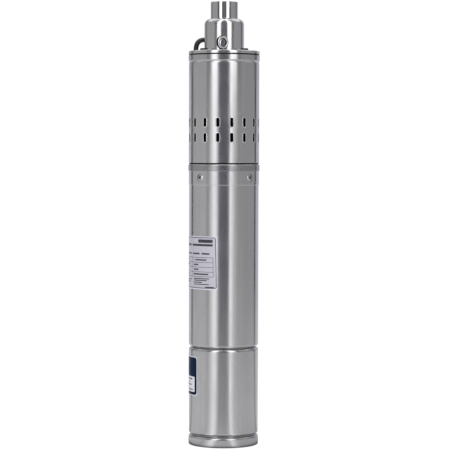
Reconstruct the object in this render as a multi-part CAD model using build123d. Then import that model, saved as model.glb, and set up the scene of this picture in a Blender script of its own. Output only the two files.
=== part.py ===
from build123d import *

import os
from math import atan, ceil, cos, degrees, hypot, pi, radians, sin, tan

# Borehole submersible pump: an oil-filled motor below a strainer, a single-screw pump inside the
# strainer and a screwed outlet on top. Millimetres. The axis is Z, the base stands on z = 0 and the
# front faces -Y. An angle round the axis is counted from the front, positive towards +X.

# Outer shells
CASING_D = 90.0
CASING_WALL = 1.5
BAND_STEP = 0.4
BAND_L = 18.5
ROLL_R = 3.7
ROLL_LIP = 3.9
ROLL_GAP = 1.2
BAND_SLOPE_H = 1.2
CAP_STEP = 0.25
CAP_RIM_H = 13.4
CAP_EDGE_R = 2.0
CAP_TOP_R = 3.0
CAP_FLOOR_T = 8.0
EDGE_R = 0.8
RING_STEP = 1.15
RING_H = 8.5
SLEEVE_STEP = 0.5
SLEEVE_EDGE_R = 0.5
SLEEVE_BAND_STEP = 1.0
SLEEVE_BAND_L = 8.5
BEAD_DEPTH = 0.8
BEAD_H = 3.2
FLANGE_STEP = 1.0
FLANGE_T = 4.6
FLANGE_EDGE_R = 1.6
NECK_D = 51.2
NECK_L = 41.5
NECK_FOOT_R = 1.2
SHOULDER_SHARE = 0.92
SHOULDER_FOOT_SHARE = 0.06
OUTLET_D = 35.0
OUTLET_L = 22.0
OUTLET_BORE_D = 24.12
OUTLET_THREAD_L = 18.0
OUTLET_THROAT_D = 20.8
OUTLET_THROAT_L = 2.0
OUTLET_CHAMFER = 0.8

# Play between pieces
FIT = 0.05
HOLE_PLAY = 0.3
AIR_GAP = 0.4

# Rolled-joint housings and their seals
SPIGOT_WALL = 4.0
CAP_SPIGOT_L = 14.0
JOINT_SPIGOT_LOW = 14.2
JOINT_SPIGOT_HIGH = 14.6
ORING_D = 2.4
ORING_GROOVE_W = 3.4
HOUSING_WEB_T = 8.0
HOUSING_TOP_T = 22.0
HOUSING_RADIUS = 2.0
HOUSING_SEAL_RISE = 9.0

# Screwed fastenings
TIE_BOLT_D = 6.0
TIE_BOLT_HEAD_D = 10.0
TIE_BOLT_HEAD_H = 2.4
TIE_BOLT_EDGE = 0.5
TIE_BOLT_SOCKET = 5.0
TIE_BOLT_INSET = 7.5
TIE_BOLT_THREAD_L = 12.0
TIE_BOLTS = 4
CASING_SCREW_D = 5.0
CASING_SCREW_HEAD_D = 9.0
CASING_SCREW_EDGE = 0.4
CASING_SCREW_L = 6.0
CASING_SCREW_DROP = 8.4
CASING_SCREW_TURN = 2.5
CASING_SCREW_RECESS = 0.3
CASING_SCREW_CROSS = (5.4, 1.3, 0.8)
CASING_SCREWS = 4
COVER_SCREW_D = 4.0
COVER_SCREW_HEAD_D = 7.0
COVER_SCREW_HEAD_H = 2.2
COVER_SCREW_CROSS = (4.2, 1.0, 0.8)
COVER_SCREW_L = 9.0
COVER_SCREWS = 4
FILLER_D = 10.0
FILLER_HEAD_D = 17.0
FILLER_HEAD_H = 3.0
FILLER_SOCKET = 5.0
FILLER_RECESS = 1.0
FILLER_PLAY = 1.0

# Motor
SHAFT_D = 19.0
SHAFT_SEAL_D = 12.0
SHAFT_END_L = 1.0
SHAFT_CHAMFER = 0.6
ROTOR_D = 44.4
STACK_L = 95.0
SLOTS = 24
SLOT_W = 4.4
SLOT_BACK = 7.0
SLOT_LIP = 1.9
SLOT_LINER_T = 0.15
END_TURN_L = 27.0
END_TURN_INSET = 3.5
END_TURN_STEP = 1.0
END_TURN_R = 5.0
END_ROOM_LOW = 8.0
END_ROOM_HIGH = 18.5
ROTOR_BARS = 18
ROTOR_BAR_D = 3.6
ROTOR_BAR_SKIN = 1.4
ROTOR_RING_L = 5.0
ROTOR_RING_W = 8.1
ROTOR_RING_INSET = 0.6
CAPACITOR_D = 45.0
CAPACITOR_L = 84.0
CAPACITOR_RIM = 1.2
CAPACITOR_EDGE_R = 2.0
HOLDER_WALL = 2.0
HOLDER_FLOOR_T = 3.0
HOLDER_CUP_H = 23.0
HOLDER_RIB_H = 16.1
HOLDER_RIBS = 6
TERMINAL_L = 8.0
TERMINAL_PITCH = 16.0
TERMINAL_W = 6.3
TERMINAL_T = 0.8
LEAD_D = 2.4
LEAD_ROOM = 10.0
LEAD_HOLE_D = 6.0
LEAD_INSET = 3.5
LEAD_BENDS = (2.5, 2.5, 5.0)
PROTECTOR_L = 16.0
PROTECTOR_W = 8.0
PROTECTOR_H = 5.0
PROTECTOR_R = 1.5

# Bearings: bore, outside diameter, width, ball diameter, number of balls
LOW_BEARING = (15.0, 35.0, 11.0, 5.95, 8)
HIGH_BEARING = (17.0, 40.0, 12.0, 6.75, 8)
LOW_BEARING_RISE = 1.1
HIGH_BEARING_RISE = 3.5
BEARING_LIP = 0.4
RACE_SHOULDER = 0.72
BALL_PLAY = 0.03
BALL_CAGE_PLAY = 0.12
BALL_CAGE_T = 2.2
BALL_CAGE_EDGE = 1.0
HUB_WALL = 5.0
SPRING_WASHER_T = 0.9
SPRING_WASHER_H = 2.4
SPRING_WASHER_W = 2.6
SPRING_WASHER_PLAY = 0.2
SPRING_WASHER_SEAT = 3.0

# Shaft seal
SEAL_CHAMBER_D = 31.0
SEAL_COVER_D = 50.0
SEAL_COVER_T = 4.5
SEAL_COVER_EDGE_R = 1.0
SEAL_SHAFT_GAP = 1.5
SEAL_SIDE_GAP = 3.0
SEAT_CUP_T = 1.5
SEAT_CUP_WALL = 2.5
SEAT_BARE_L = 1.0
SEAT_T = 6.5
SEAL_FACE_T = 5.0
SEAL_NOSE_H = 1.6
SEAL_NOSE_INSET = 1.4
SEAL_NOSE_BORE = 2.0
BELLOWS_WALL = 2.4
BELLOWS_PLAY = 1.0
BELLOWS_BULGE = 1.0
BELLOWS_BULGE_H = 4.0
SEAL_SPRING_WIRE = 1.4
SEAL_SPRING_TURNS = 4
SEAL_SPRING_L = 13.5
SEAL_RETAINER_T = 1.5
RETAINER_PLAY = 1.5
RETAINER_GAP = 2.0
FLINGER_D = 27.0
FLINGER_H = 4.1
FLINGER_RIM_T = 1.2
FLINGER_HUB_WALL = 3.0

# Single-screw pump
SCREW_D = 17.0
ECCENTRICITY = 2.0
SCREW_PITCH = 26.0
STATOR_STAGES = 2
SCREW_PLAY = 0.25
SCREW_OUT_LOW = 2.0
SCREW_OUT_HIGH = 3.0
STATOR_TUBE_D = 42.0
STATOR_TUBE_WALL = 2.0
STATOR_SOCKET_L = 12.0
SCREW_ROOT = 0.5
CROWN_H = 8.0
SECTIONS_PER_TURN = 8

# Drive rod with a pin joint at each end
JOINT_BALL_D = 8.0
DRIVE_PIN_D = 4.0
DRIVE_PIN_PLAY = 0.2
DRIVE_PIN_GAP = 0.4
SKIRT_D = 13.0
SKIRT_WALL = 2.3
SKIRT_REACH = 6.0
SKIRT_GAP = 1.0
POST_PLAY = 0.7
POST_SEAT_SHARE = 0.3
ROD_SHOULDER = 2.6
ROD_TAPER = 2.0
DRIVE_SOCKET_D = 19.0
DRIVE_SOCKET_WALL = 2.3
DRIVE_SOCKET_FLOOR_T = 3.0
LOWER_SHANK_L = 8.0
UPPER_SHANK_L = 2.0
DRIVE_ROD_D = 9.0
JOINT_DISTANCE = 32.0
SOCKET_RISE = 10.0
SOCKET_GAP = 4.0

# Suction cage and strainer
CAGE_WALL = 4.0
CAGE_GAP = 2.5
CAGE_BASE_T = 4.5
CAGE_TOP_T = 6.0
CAGE_COLLAR_WALL = 4.1
CAGE_WINDOWS = 4
CAGE_WINDOW_W = 26.0
CAGE_WINDOW_MARGIN = 9.0
CAGE_WINDOW_R = 4.0
CAGE_RADIUS = 1.5
CAGE_THROAT_PLAY = 1.5
CAGE_BASE_PLAY = 0.5
CAGE_CABLE_PLAY = 1.0
SLOT_ROW_RISE = 34.5
SLOT_ROW_PITCH = 19.4
STRAINER_SLOT_L = 11.2
STRAINER_SLOT_W = 3.7
STRAINER_SLOT_EDGE = 0.4
STRAINER_SLOTS = 16
STRAINER_TURN = 12.55

# Gaskets and rope eyes
SLEEVE_GASKET_T = 1.4
HEAD_GASKET_T = 1.2
GASKET_INSET = 0.7
SLEEVE_REGISTER_L = 5.0
SLEEVE_REGISTER_WALL = 2.1
HEAD_REGISTER_L = 3.5
HEAD_GROOVE_RISE = 2.0
EYE_BAR_D = 4.3
EYE_HOLE_D = 9.5
EYE_COLLAR_D = 9.0
EYE_COLLAR_H = 1.4
EYE_SHANK_D = 6.0
EYE_TURN = 35.0
EYE_OFFSET = -3.5
EYE_LIFT = 0.25

# Labels
LABEL_T = 0.2
GLUE_T = 0.05
RATING_LABEL = (203.5, 272.0, -10.2, -133.7)
COLOUR_LABEL = (65.5, 116.5, -48.0, -150.0)
COLOUR_LABEL_ROUND = 3.0

# Supply cable. It leaves the head behind the neck's left side, drops behind the pump and lies in a
# flat coil on the floor. The lists hold the points of its route.
CABLE_D = 6.4
CABLE_INSET = 5.8
CABLE_ANGLE = -105.2
GROMMET_D = 10.0
GROMMET_COLLAR_D = 12.4
GROMMET_COLLAR_H = 0.8
BUNG_L = 8.0
INNER_CABLE_TAIL = 8.0
CORE_INSET = 1.4
CORE_D = 1.8
CORES = 3
CABLE_ROUTE = [
    (-36.86, 10.02, 511.6), (-36.7, 10.3, 515.8), (-35.4, 12.4, 521.0), (-32.8, 16.6, 524.4),
    (-29.3, 22.4, 526.3), (-25.2, 29.1, 526.9), (-21.1, 35.8, 526.0), (-17.4, 41.9, 523.5),
    (-14.2, 47.1, 519.3), (-11.6, 51.4, 513.1), (-9.7, 54.5, 504.5), (-9.2, 56.6, 492.5),
    (-10.6, 57.8, 474.5), (-13.6, 57.4, 446.0), (-14.4, 58.6, 398.0), (-10.6, 60.2, 328.0),
    (-12.8, 58.8, 250.0), (-19.2, 60.4, 178.0), (-27.5, 61.6, 122.0), (-33.2, 62.6, 80.0),
    (-36.4, 63.2, 52.0), (-37.4, 63.3, 31.6), (-32.1, 63.2, 18.6), (-22.1, 63.0, 8.6),
    (-9.1, 62.9, 3.25), (5.0, 63.0, 3.25),
]
COIL_CENTRE = (5.0, 100.9)
COIL_RADII = (25.1, 31.5, 37.9)
COIL_LAYERS = 2
TAIL_ROUTE = [
    (42.9, 100.9, 9.65), (42.9, 117.0, 8.9), (41.9, 133.0, 5.4), (38.6, 149.5, 3.4), (32.4, 165.0, 3.25),
]
CORE_L = 34.0
CORE_SPREAD = 7.0

BASE = (Align.CENTER, Align.CENTER, Align.MIN)

# Radii of the shells
casing_r = CASING_D / 2
casing_in = casing_r - CASING_WALL
lip_r = casing_r - ROLL_LIP
band_r = casing_r + BAND_STEP
band_in = band_r - CASING_WALL
ring_r = casing_r + RING_STEP
sleeve_r = casing_r + SLEEVE_STEP
sleeve_in = sleeve_r - CASING_WALL
flange_r = casing_r + FLANGE_STEP
spigot_r = casing_in - FIT
tie_circle = sleeve_in - TIE_BOLT_INSET
cable_circle = sleeve_in - CABLE_INSET
roll_in = ROLL_R - CASING_WALL
lead_circle = casing_in - SPIGOT_WALL - LEAD_HOLE_D - LEAD_INSET

# Heights from the base upwards
lower_z0 = CAP_RIM_H + ROLL_GAP
holder_z0 = CAP_FLOOR_T
capacitor_z0 = holder_z0 + HOLDER_FLOOR_T
capacitor_z1 = capacitor_z0 + CAPACITOR_L
terminal_z1 = capacitor_z1 + TERMINAL_L
joint_web_z0 = terminal_z1 + LEAD_ROOM
lower_z1 = joint_web_z0 + JOINT_SPIGOT_LOW
motor_z0 = lower_z1 + ROLL_GAP
joint_top = motor_z0 + JOINT_SPIGOT_HIGH
low_turns_z0 = joint_top + END_ROOM_LOW
stack_z0 = low_turns_z0 + END_TURN_L
stack_z1 = stack_z0 + STACK_L
high_turns_z1 = stack_z1 + END_TURN_L
housing_z0 = high_turns_z1 + END_ROOM_HIGH

# Heights through the bearings and the seal
low_bearing_z0 = joint_web_z0 + HOUSING_WEB_T + LOW_BEARING_RISE
low_bearing_z1 = low_bearing_z0 + LOW_BEARING[2]
high_bearing_z0 = housing_z0 + HIGH_BEARING_RISE
high_bearing_z1 = high_bearing_z0 + HIGH_BEARING[2]
retainer_z0 = high_bearing_z1 + RETAINER_GAP
retainer_z1 = retainer_z0 + SEAL_RETAINER_T
face_z0 = retainer_z1 + SEAL_SPRING_L
face_z1 = face_z0 + SEAL_FACE_T
seat_z0 = face_z1 + FIT
seat_z1 = seat_z0 + SEAT_T
ring_z1 = seat_z1 + SEAT_CUP_T
ring_z0 = ring_z1 - RING_H
web_z0 = ring_z1 - HOUSING_TOP_T

# Heights through the pump
sleeve_z0 = ring_z1 + SLEEVE_GASKET_T
drive_z0 = ring_z1 + SOCKET_RISE
joint_reach = DRIVE_SOCKET_FLOOR_T + SKIRT_GAP + SKIRT_REACH
joint_low_z = drive_z0 + LOWER_SHANK_L + joint_reach
joint_high_z = joint_low_z + JOINT_DISTANCE
drive_z1 = joint_high_z + joint_reach + UPPER_SHANK_L
stator_z0 = drive_z1 + SOCKET_GAP
stator_l = STATOR_STAGES * 2 * SCREW_PITCH
stator_z1 = stator_z0 + stator_l
neck_z1 = stator_z1 + CROWN_H
flange_z1 = neck_z1 - NECK_L
flange_z0 = flange_z1 - FLANGE_T
sleeve_z1 = flange_z0 - HEAD_GASKET_T
outlet_z1 = neck_z1 + OUTLET_L
register_z0 = flange_z0 - HEAD_REGISTER_L


def bar(radius, z0, z1, x=0.0, y=0.0):
    """A round bar that stands on z0 and ends at z1."""
    return Pos(x, y, z0) * Cylinder(radius, z1 - z0, align=BASE)


def ring(outer, inner, z0, z1):
    """A plain ring round the axis."""
    return bar(outer, z0, z1) - bar(inner, z0 - 1, z1 + 1)


def turned(outline, rounds=None):
    """Revolve an outline of (radius, height) points. rounds gives the radius at a numbered corner."""
    sketch = make_face(Polyline(*outline, close=True))
    for index, radius in (rounds or {}).items():
        corner = Vector(*outline[index])
        nearest = sketch.vertices().sort_by_distance(corner)[0]
        sketch = fillet(nearest, radius)
    return revolve(Plane.XZ * sketch, Axis.Z)


def around(radius, angle):
    """The point at this radius and this angle from the front."""
    return radius * sin(radians(angle)), -radius * cos(radians(angle))


def circle_of(count, radius, first=0.0):
    """Evenly spaced points on a circle round the axis."""
    return [around(radius, first + 360.0 * i / count) for i in range(count)]


def facing(radius, angle, z):
    """A plane that faces outwards at this place, with its x along Z."""
    x, y = around(radius, angle)
    return Plane(origin=(x, y, z), x_dir=(0, 0, 1), z_dir=(x, y, 0))


def seal_ring(inner, outer, z):
    """A rubber ring of round section as it lies squeezed between two walls."""
    section = (outer - inner) / 2 - FIT / 2
    return Pos(0, 0, z) * Torus((inner + outer) / 2, section)


def groove(outer, z):
    """The ring of metal that a seal's groove takes out of a spigot."""
    return ring(outer + 1, outer - ORING_D, z - ORING_GROOVE_W / 2, z + ORING_GROOVE_W / 2)


def solids(*shapes):
    """Separate solids of one sub-part."""
    found = []
    for shape in shapes:
        found += shape.solids()
    return Compound(children=found)


# Lower end


def bottom_cap():
    floor_in = spigot_r - SPIGOT_WALL
    top = lower_z0 + CAP_SPIGOT_L + CASING_WALL
    shoulder = lower_z0 + CASING_WALL + FIT
    outline = [
        (0, 0), (casing_r + CAP_STEP, 0), (casing_r + CAP_STEP, CAP_RIM_H), (lip_r - FIT, CAP_RIM_H),
        (lip_r - FIT, shoulder), (spigot_r, shoulder), (spigot_r, top), (floor_in, top),
        (floor_in, CAP_FLOOR_T), (0, CAP_FLOOR_T),
    ]
    cap = turned(outline, {1: CAP_EDGE_R, 2: CAP_TOP_R, 5: roll_in})
    cap -= groove(spigot_r, cap_seal_z())
    cap -= bar(FILLER_HEAD_D / 2 + FILLER_PLAY, -1, FILLER_HEAD_H + FILLER_RECESS)
    cap -= bar(FILLER_D / 2, 0, CAP_FLOOR_T + 1)
    return cap


def cap_seal_z():
    return lower_z0 + CASING_WALL + CAP_SPIGOT_L / 2 + 1


def filler_plug():
    head_z = FILLER_HEAD_H + FILLER_RECESS
    plug = bar(FILLER_HEAD_D / 2, FILLER_RECESS, head_z) + bar(FILLER_D / 2, head_z, CAP_FLOOR_T)
    hexagon = RegularPolygon(FILLER_SOCKET / 2, 6, major_radius=False)
    return plug - Pos(0, 0, FILLER_RECESS) * extrude(hexagon, FILLER_HEAD_H)


def lower_casing():
    z0 = lower_z0
    z1 = lower_z1
    outline = [
        (lip_r, z0), (casing_r, z0), (casing_r, z1), (lip_r, z1), (lip_r, z1 - CASING_WALL),
        (casing_in, z1 - CASING_WALL), (casing_in, z0 + CASING_WALL), (lip_r, z0 + CASING_WALL),
    ]
    return turned(outline, {1: ROLL_R, 2: ROLL_R, 5: roll_in, 6: roll_in})


def capacitor():
    rim = CAPACITOR_RIM
    can_r = CAPACITOR_D / 2
    outline = [
        (0, capacitor_z0), (can_r, capacitor_z0), (can_r, capacitor_z1), (can_r - rim, capacitor_z1),
        (can_r - rim, capacitor_z1 - rim), (0, capacitor_z1 - rim),
    ]
    can = turned(outline, {1: CAPACITOR_EDGE_R})
    for side in (-1, 1):
        blade = Box(TERMINAL_T, TERMINAL_W, TERMINAL_L + rim, align=BASE)
        can += Pos(side * TERMINAL_PITCH / 2, 0, capacitor_z1 - rim) * blade
    return can


def capacitor_holder():
    outer = spigot_r - SPIGOT_WALL - HOLE_PLAY
    cup_in = CAPACITOR_D / 2 + HOLE_PLAY / 2
    cup_out = cup_in + HOLDER_WALL
    cup_top = capacitor_z0 + HOLDER_CUP_H
    holder = bar(outer, holder_z0, capacitor_z0) + ring(cup_out, cup_in, holder_z0, cup_top)
    inwards = HOLDER_WALL / 4
    rib = Pos(cup_out - inwards, 0, holder_z0) * Box(
        outer - cup_out, HOLDER_WALL, HOLDER_RIB_H, align=(Align.MIN, Align.CENTER, Align.MIN)
    )
    for i in range(HOLDER_RIBS):
        holder += Rot(0, 0, 360.0 * i / HOLDER_RIBS) * rib
    return holder - bar(CAPACITOR_D / 4, holder_z0 - 1, capacitor_z0 + 1)


def capacitor_leads():
    across = (TERMINAL_PITCH + TERMINAL_T + LEAD_D) / 2
    start = capacitor_z1 + TERMINAL_L / 8
    bend = terminal_z1 + LEAD_ROOM * 0.35
    low_bend, middle_bend, high_bend = LEAD_BENDS
    leads = []
    for side in (-1, 1):
        points = [
            (side * across, 0, start), (side * across, 0, bend - 1.2 * low_bend),
            (side * (across + 1.6 * low_bend), 0, bend), (side * lead_circle, 0, bend + 0.8 * high_bend),
            (side * lead_circle, 0, low_turns_z0),
        ]
        path = FilletPolyline(*points, radius=[low_bend, middle_bend, high_bend])
        profile = Plane(origin=points[0], z_dir=(0, 0, 1)) * Circle(LEAD_D / 2)
        leads.append(sweep(profile, path=path))
    return solids(*leads)


def lower_bearing_housing():
    low = joint_web_z0
    under = lower_z1 - CASING_WALL - FIT
    over = motor_z0 + CASING_WALL + FIT
    wall_in = spigot_r - SPIGOT_WALL
    bearing_r = LOW_BEARING[1] / 2
    hub_r = bearing_r + SPIGOT_WALL
    washer_z = low_bearing_z0 - SPRING_WASHER_H
    seat_r = bearing_r - SPRING_WASHER_SEAT
    lip_z = low_bearing_z1 + BEARING_LIP
    outline = [
        (0, low), (spigot_r, low), (spigot_r, under), (lip_r - FIT, under), (lip_r - FIT, over),
        (spigot_r, over), (spigot_r, joint_top), (wall_in, joint_top), (wall_in, low + HOUSING_WEB_T),
        (hub_r, low + HOUSING_WEB_T), (hub_r, lip_z), (bearing_r, lip_z),
        (bearing_r, washer_z), (seat_r, washer_z), (seat_r, low + HOUSING_WEB_T / 2),
        (0, low + HOUSING_WEB_T / 2),
    ]
    housing = turned(outline, {2: roll_in, 5: roll_in, 8: HOUSING_RADIUS, 9: HOUSING_RADIUS})
    for z in joint_seal_zs():
        housing -= groove(spigot_r, z)
    for side in (-1, 1):
        housing -= bar(LEAD_HOLE_D / 2, low - 1, low + HOUSING_WEB_T + 1, side * lead_circle)
    return housing


def joint_seal_zs():
    return (joint_web_z0 + HOUSING_WEB_T / 2, motor_z0 + JOINT_SPIGOT_HIGH * 2 / 3)


def casing_orings():
    seals = [seal_ring(spigot_r - ORING_D, casing_in, z) for z in (cap_seal_z(), *joint_seal_zs())]
    seals.append(seal_ring(spigot_r - ORING_D, casing_in, housing_seal_z()))
    return solids(*seals)


# Bearings


def bearing_radii(sizes):
    bore, outside, ball_d = sizes[0], sizes[1], sizes[3]
    return bore / 2, outside / 2, (bore + outside) / 4, ball_d / 2


def race(sizes, z0, outer_ring):
    """One ring of a ball bearing with its groove."""
    inner_r, outer_r, pitch_r, ball_r = bearing_radii(sizes)
    shoulder = RACE_SHOULDER * ball_r
    z1 = z0 + sizes[2]
    if outer_ring:
        body = ring(outer_r, pitch_r + shoulder, z0, z1)
    else:
        body = ring(pitch_r - shoulder, inner_r, z0, z1)
    return body - Pos(0, 0, (z0 + z1) / 2) * Torus(pitch_r, ball_r + BALL_PLAY)


def ball_set(sizes, z0):
    """The balls of a bearing in the cage that carries them round."""
    pitch_r, ball_r = bearing_radii(sizes)[2:]
    count = sizes[4]
    middle = z0 + sizes[2] / 2
    reach = ball_r + BALL_CAGE_EDGE
    pocket = Cylinder(ball_r + BALL_CAGE_PLAY, 3 * BALL_CAGE_T)
    cage = ring(pitch_r + BALL_CAGE_T / 2, pitch_r - BALL_CAGE_T / 2, middle - reach, middle + reach)
    balls = []
    for i, (x, y) in enumerate(circle_of(count, pitch_r)):
        cage -= facing(pitch_r, 360.0 * i / count, middle) * pocket
        balls.append(Pos(x, y, middle) * Sphere(ball_r - BALL_PLAY))
    return solids(cage, *balls)


def spring_washer():
    """A disc spring that loads the lower bearing from below."""
    outer = LOW_BEARING[1] / 2 - SPRING_WASHER_PLAY
    inner = outer - SPRING_WASHER_W
    z1 = low_bearing_z0
    z0 = z1 - SPRING_WASHER_H
    return turned([
        (inner, z0), (outer, z1 - SPRING_WASHER_T), (outer, z1), (inner, z0 + SPRING_WASHER_T),
    ])


# Motor


def motor_casing():
    z0 = motor_z0
    z1 = ring_z0
    band = z1 - BAND_L
    outline = [
        (lip_r, z0), (casing_r, z0), (casing_r, band), (band_r, band + BAND_SLOPE_H), (band_r, z1),
        (band_in, z1), (band_in, band + BAND_SLOPE_H), (casing_in, band), (casing_in, z0 + CASING_WALL),
        (lip_r, z0 + CASING_WALL),
    ]
    casing = turned(outline, {1: ROLL_R, 8: roll_in})
    for x, y in casing_screw_points():
        casing -= screw_axis(x, y) * Cylinder(CASING_SCREW_HEAD_D / 2 + HOLE_PLAY, 4 * CASING_WALL)
    return casing


def casing_screw_points():
    return circle_of(CASING_SCREWS, band_r, 180.0 / CASING_SCREWS + CASING_SCREW_TURN)


def screw_axis(x, y):
    """A plane at the casing's surface whose z points outwards through a radial screw."""
    return Plane(origin=(x, y, ring_z0 - CASING_SCREW_DROP), x_dir=(0, 0, 1), z_dir=(x, y, 0))


def slot_pocket(shrink):
    """One winding slot of the stator stack, seen along the axis, at angle 0."""
    inner = ROTOR_D / 2 + AIR_GAP + SLOT_LIP + shrink
    outer = casing_in - SLOT_BACK - shrink
    width = SLOT_W - 2 * shrink
    pocket = RectangleRounded(outer - inner, width, width * 0.3)
    return Pos((inner + outer) / 2, 0) * pocket


def stator_core():
    bore = ROTOR_D / 2 + AIR_GAP
    mouth = Pos(bore, 0) * Rectangle(2 * SLOT_LIP + 1, SLOT_W * 0.4)
    section = Circle(casing_in) - Circle(bore)
    for i in range(SLOTS):
        section -= Rot(0, 0, 360.0 * i / SLOTS) * (slot_pocket(0) + mouth)
    return Pos(0, 0, stack_z0) * extrude(section, STACK_L)


def stator_windings():
    inner = ROTOR_D / 2 + AIR_GAP + SLOT_LIP + END_TURN_STEP
    outer = casing_in - END_TURN_INSET
    corner = END_TURN_R
    low = [(inner, low_turns_z0), (outer, low_turns_z0), (outer, stack_z0), (inner, stack_z0)]
    high = [(inner, stack_z1), (outer, stack_z1), (outer, high_turns_z1), (inner, high_turns_z1)]
    coils = turned(low, {0: corner, 1: corner}) + turned(high, {2: corner, 3: corner})
    strands = Sketch()
    for i in range(SLOTS):
        strands += Rot(0, 0, 360.0 * i / SLOTS) * slot_pocket(SLOT_LINER_T)
    return coils + Pos(0, 0, stack_z0 - 1) * extrude(strands, STACK_L + 2)


def thermal_protector():
    radius = ROTOR_D / 2 + AIR_GAP + SLOT_LIP + END_TURN_STEP + PROTECTOR_W
    body = Box(PROTECTOR_L, PROTECTOR_W, PROTECTOR_H, align=BASE)
    body = fillet(body.edges().filter_by(Axis.Z), PROTECTOR_R)
    return Pos(0, -radius, high_turns_z1) * body


def rotor_bar_holes(radius):
    circle = (ROTOR_D - ROTOR_BAR_D) / 2 - ROTOR_BAR_SKIN
    return Sketch() + [Pos(x, y) * Circle(radius) for x, y in circle_of(ROTOR_BARS, circle)]


def rotor_core():
    section = Circle(ROTOR_D / 2) - Circle(SHAFT_D / 2) - rotor_bar_holes(ROTOR_BAR_D / 2)
    return Pos(0, 0, stack_z0) * extrude(section, STACK_L)


def rotor_cage():
    outer = ROTOR_D / 2 - ROTOR_RING_INSET
    inner = outer - ROTOR_RING_W
    bars = Pos(0, 0, stack_z0 - 1) * extrude(rotor_bar_holes(ROTOR_BAR_D / 2), STACK_L + 2)
    low = ring(outer, inner, stack_z0 - ROTOR_RING_L, stack_z0)
    high = ring(outer, inner, stack_z1, stack_z1 + ROTOR_RING_L)
    return bars + low + high


def motor_shaft():
    low_r = LOW_BEARING[0] / 2
    high_r = HIGH_BEARING[0] / 2
    seal_r = SHAFT_SEAL_D / 2
    bottom = low_bearing_z0 - SHAFT_END_L
    top = drive_z0 + LOWER_SHANK_L
    outline = [
        (0, bottom), (low_r, bottom), (low_r, low_bearing_z1), (SHAFT_D / 2, low_bearing_z1),
        (SHAFT_D / 2, high_bearing_z0), (high_r, high_bearing_z0), (high_r, retainer_z0),
        (seal_r, retainer_z0), (seal_r, top), (0, top),
    ]
    return chamfer(turned(outline).edges().filter_by(GeomType.CIRCLE).sort_by(Axis.Z)[0], SHAFT_CHAMFER)


# Upper bearing housing and shaft seal


def housing_seal_z():
    return housing_z0 + HOUSING_SEAL_RISE


def upper_bearing_housing():
    band = ring_z0 - BAND_L + BAND_SLOPE_H
    wall_in = spigot_r - SPIGOT_WALL
    chamber_r = SEAL_CHAMBER_D / 2
    bearing_r = HIGH_BEARING[1] / 2
    hub_r = bearing_r + HUB_WALL
    register = sleeve_in - FIT
    register_in = register - SLEEVE_REGISTER_WALL
    lip = ring_z1 + SLEEVE_REGISTER_L
    outline = [
        (wall_in, housing_z0), (spigot_r, housing_z0), (spigot_r, band),
        (band_in - FIT, band + BAND_SLOPE_H),
        (band_in - FIT, ring_z0), (ring_r, ring_z0), (ring_r, ring_z1), (register, ring_z1),
        (register, lip), (register_in, lip), (register_in, ring_z1), (chamber_r, ring_z1),
        (chamber_r, high_bearing_z1), (bearing_r, high_bearing_z1), (bearing_r, housing_z0),
        (hub_r, housing_z0), (hub_r, web_z0), (wall_in, web_z0),
    ]
    housing = turned(outline, {5: EDGE_R, 6: EDGE_R, 16: HOUSING_RADIUS, 17: HOUSING_RADIUS})
    housing -= groove(spigot_r, housing_seal_z())
    for x, y in tie_bolt_points():
        housing -= bar(TIE_BOLT_D / 2 + FIT, ring_z1 - TIE_BOLT_THREAD_L - 1, ring_z1 + 1, x, y)
    for x, y in cover_screw_points():
        housing -= bar(COVER_SCREW_D / 2 + FIT, ring_z1 - COVER_SCREW_L, ring_z1 + 1, x, y)
    for x, y in casing_screw_points():
        deep = 2 * (BAND_STEP + CASING_WALL + CASING_SCREW_L + 1)
        housing -= screw_axis(x, y) * Cylinder(CASING_SCREW_D / 2 + FIT, deep)
    x, y = around(cable_circle, CABLE_ANGLE)
    housing -= bar(GROMMET_D / 2, ring_z1 - BUNG_L, lip + 1, x, y)
    housing -= bar(CABLE_D / 2 + HOLE_PLAY, web_z0 - INNER_CABLE_TAIL - 1, ring_z1, x, y)
    return housing


def cross_recess(length, width, depth):
    """A cross for a screwdriver, cut down from the origin."""
    cross = Rectangle(length, width) + Rectangle(width, length)
    return Pos(0, 0, -depth) * extrude(cross, 2 * depth)


def casing_screws():
    """Radial screws whose heads lie in the casing's holes, on the housing."""
    head_h = CASING_WALL - CASING_SCREW_RECESS
    seat = -(band_r - (band_in - FIT))
    head = Cylinder(CASING_SCREW_HEAD_D / 2, head_h, align=BASE)
    rim = head.edges().filter_by(GeomType.CIRCLE).sort_by(Axis.Z)[-1]
    screw = Pos(0, 0, seat) * chamfer(rim, CASING_SCREW_EDGE)
    screw += Pos(0, 0, seat - CASING_SCREW_L) * Cylinder(CASING_SCREW_D / 2, CASING_SCREW_L, align=BASE)
    screw -= Pos(0, 0, seat + head_h) * cross_recess(*CASING_SCREW_CROSS)
    return solids(*[screw_axis(x, y) * screw for x, y in casing_screw_points()])


def seal_seat():
    inner = SHAFT_SEAL_D / 2 + SEAL_SHAFT_GAP
    outer = SEAL_CHAMBER_D / 2 - SEAT_CUP_WALL
    return ring(outer, inner, seat_z0, seat_z1)


def seal_seat_cup():
    outer = SEAL_CHAMBER_D / 2
    seat_r = outer - SEAT_CUP_WALL
    inner = SHAFT_SEAL_D / 2 + SEAL_SHAFT_GAP + SEAT_BARE_L
    low = seat_z0 + SEAT_BARE_L
    return turned([
        (inner, ring_z1), (inner, seat_z1), (seat_r, seat_z1), (seat_r, low), (outer, low),
        (outer, ring_z1),
    ])


def seal_face_ring():
    inner = SHAFT_SEAL_D / 2
    outer = SEAL_CHAMBER_D / 2 - SEAL_SIDE_GAP
    nose = outer - SEAL_NOSE_INSET
    bore = inner + SEAL_NOSE_BORE
    step = face_z1 - SEAL_NOSE_H
    return turned([
        (inner, face_z0), (outer, face_z0), (outer, step), (nose, step), (nose, face_z1),
        (bore, face_z1), (bore, step), (inner, step),
    ])


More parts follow.
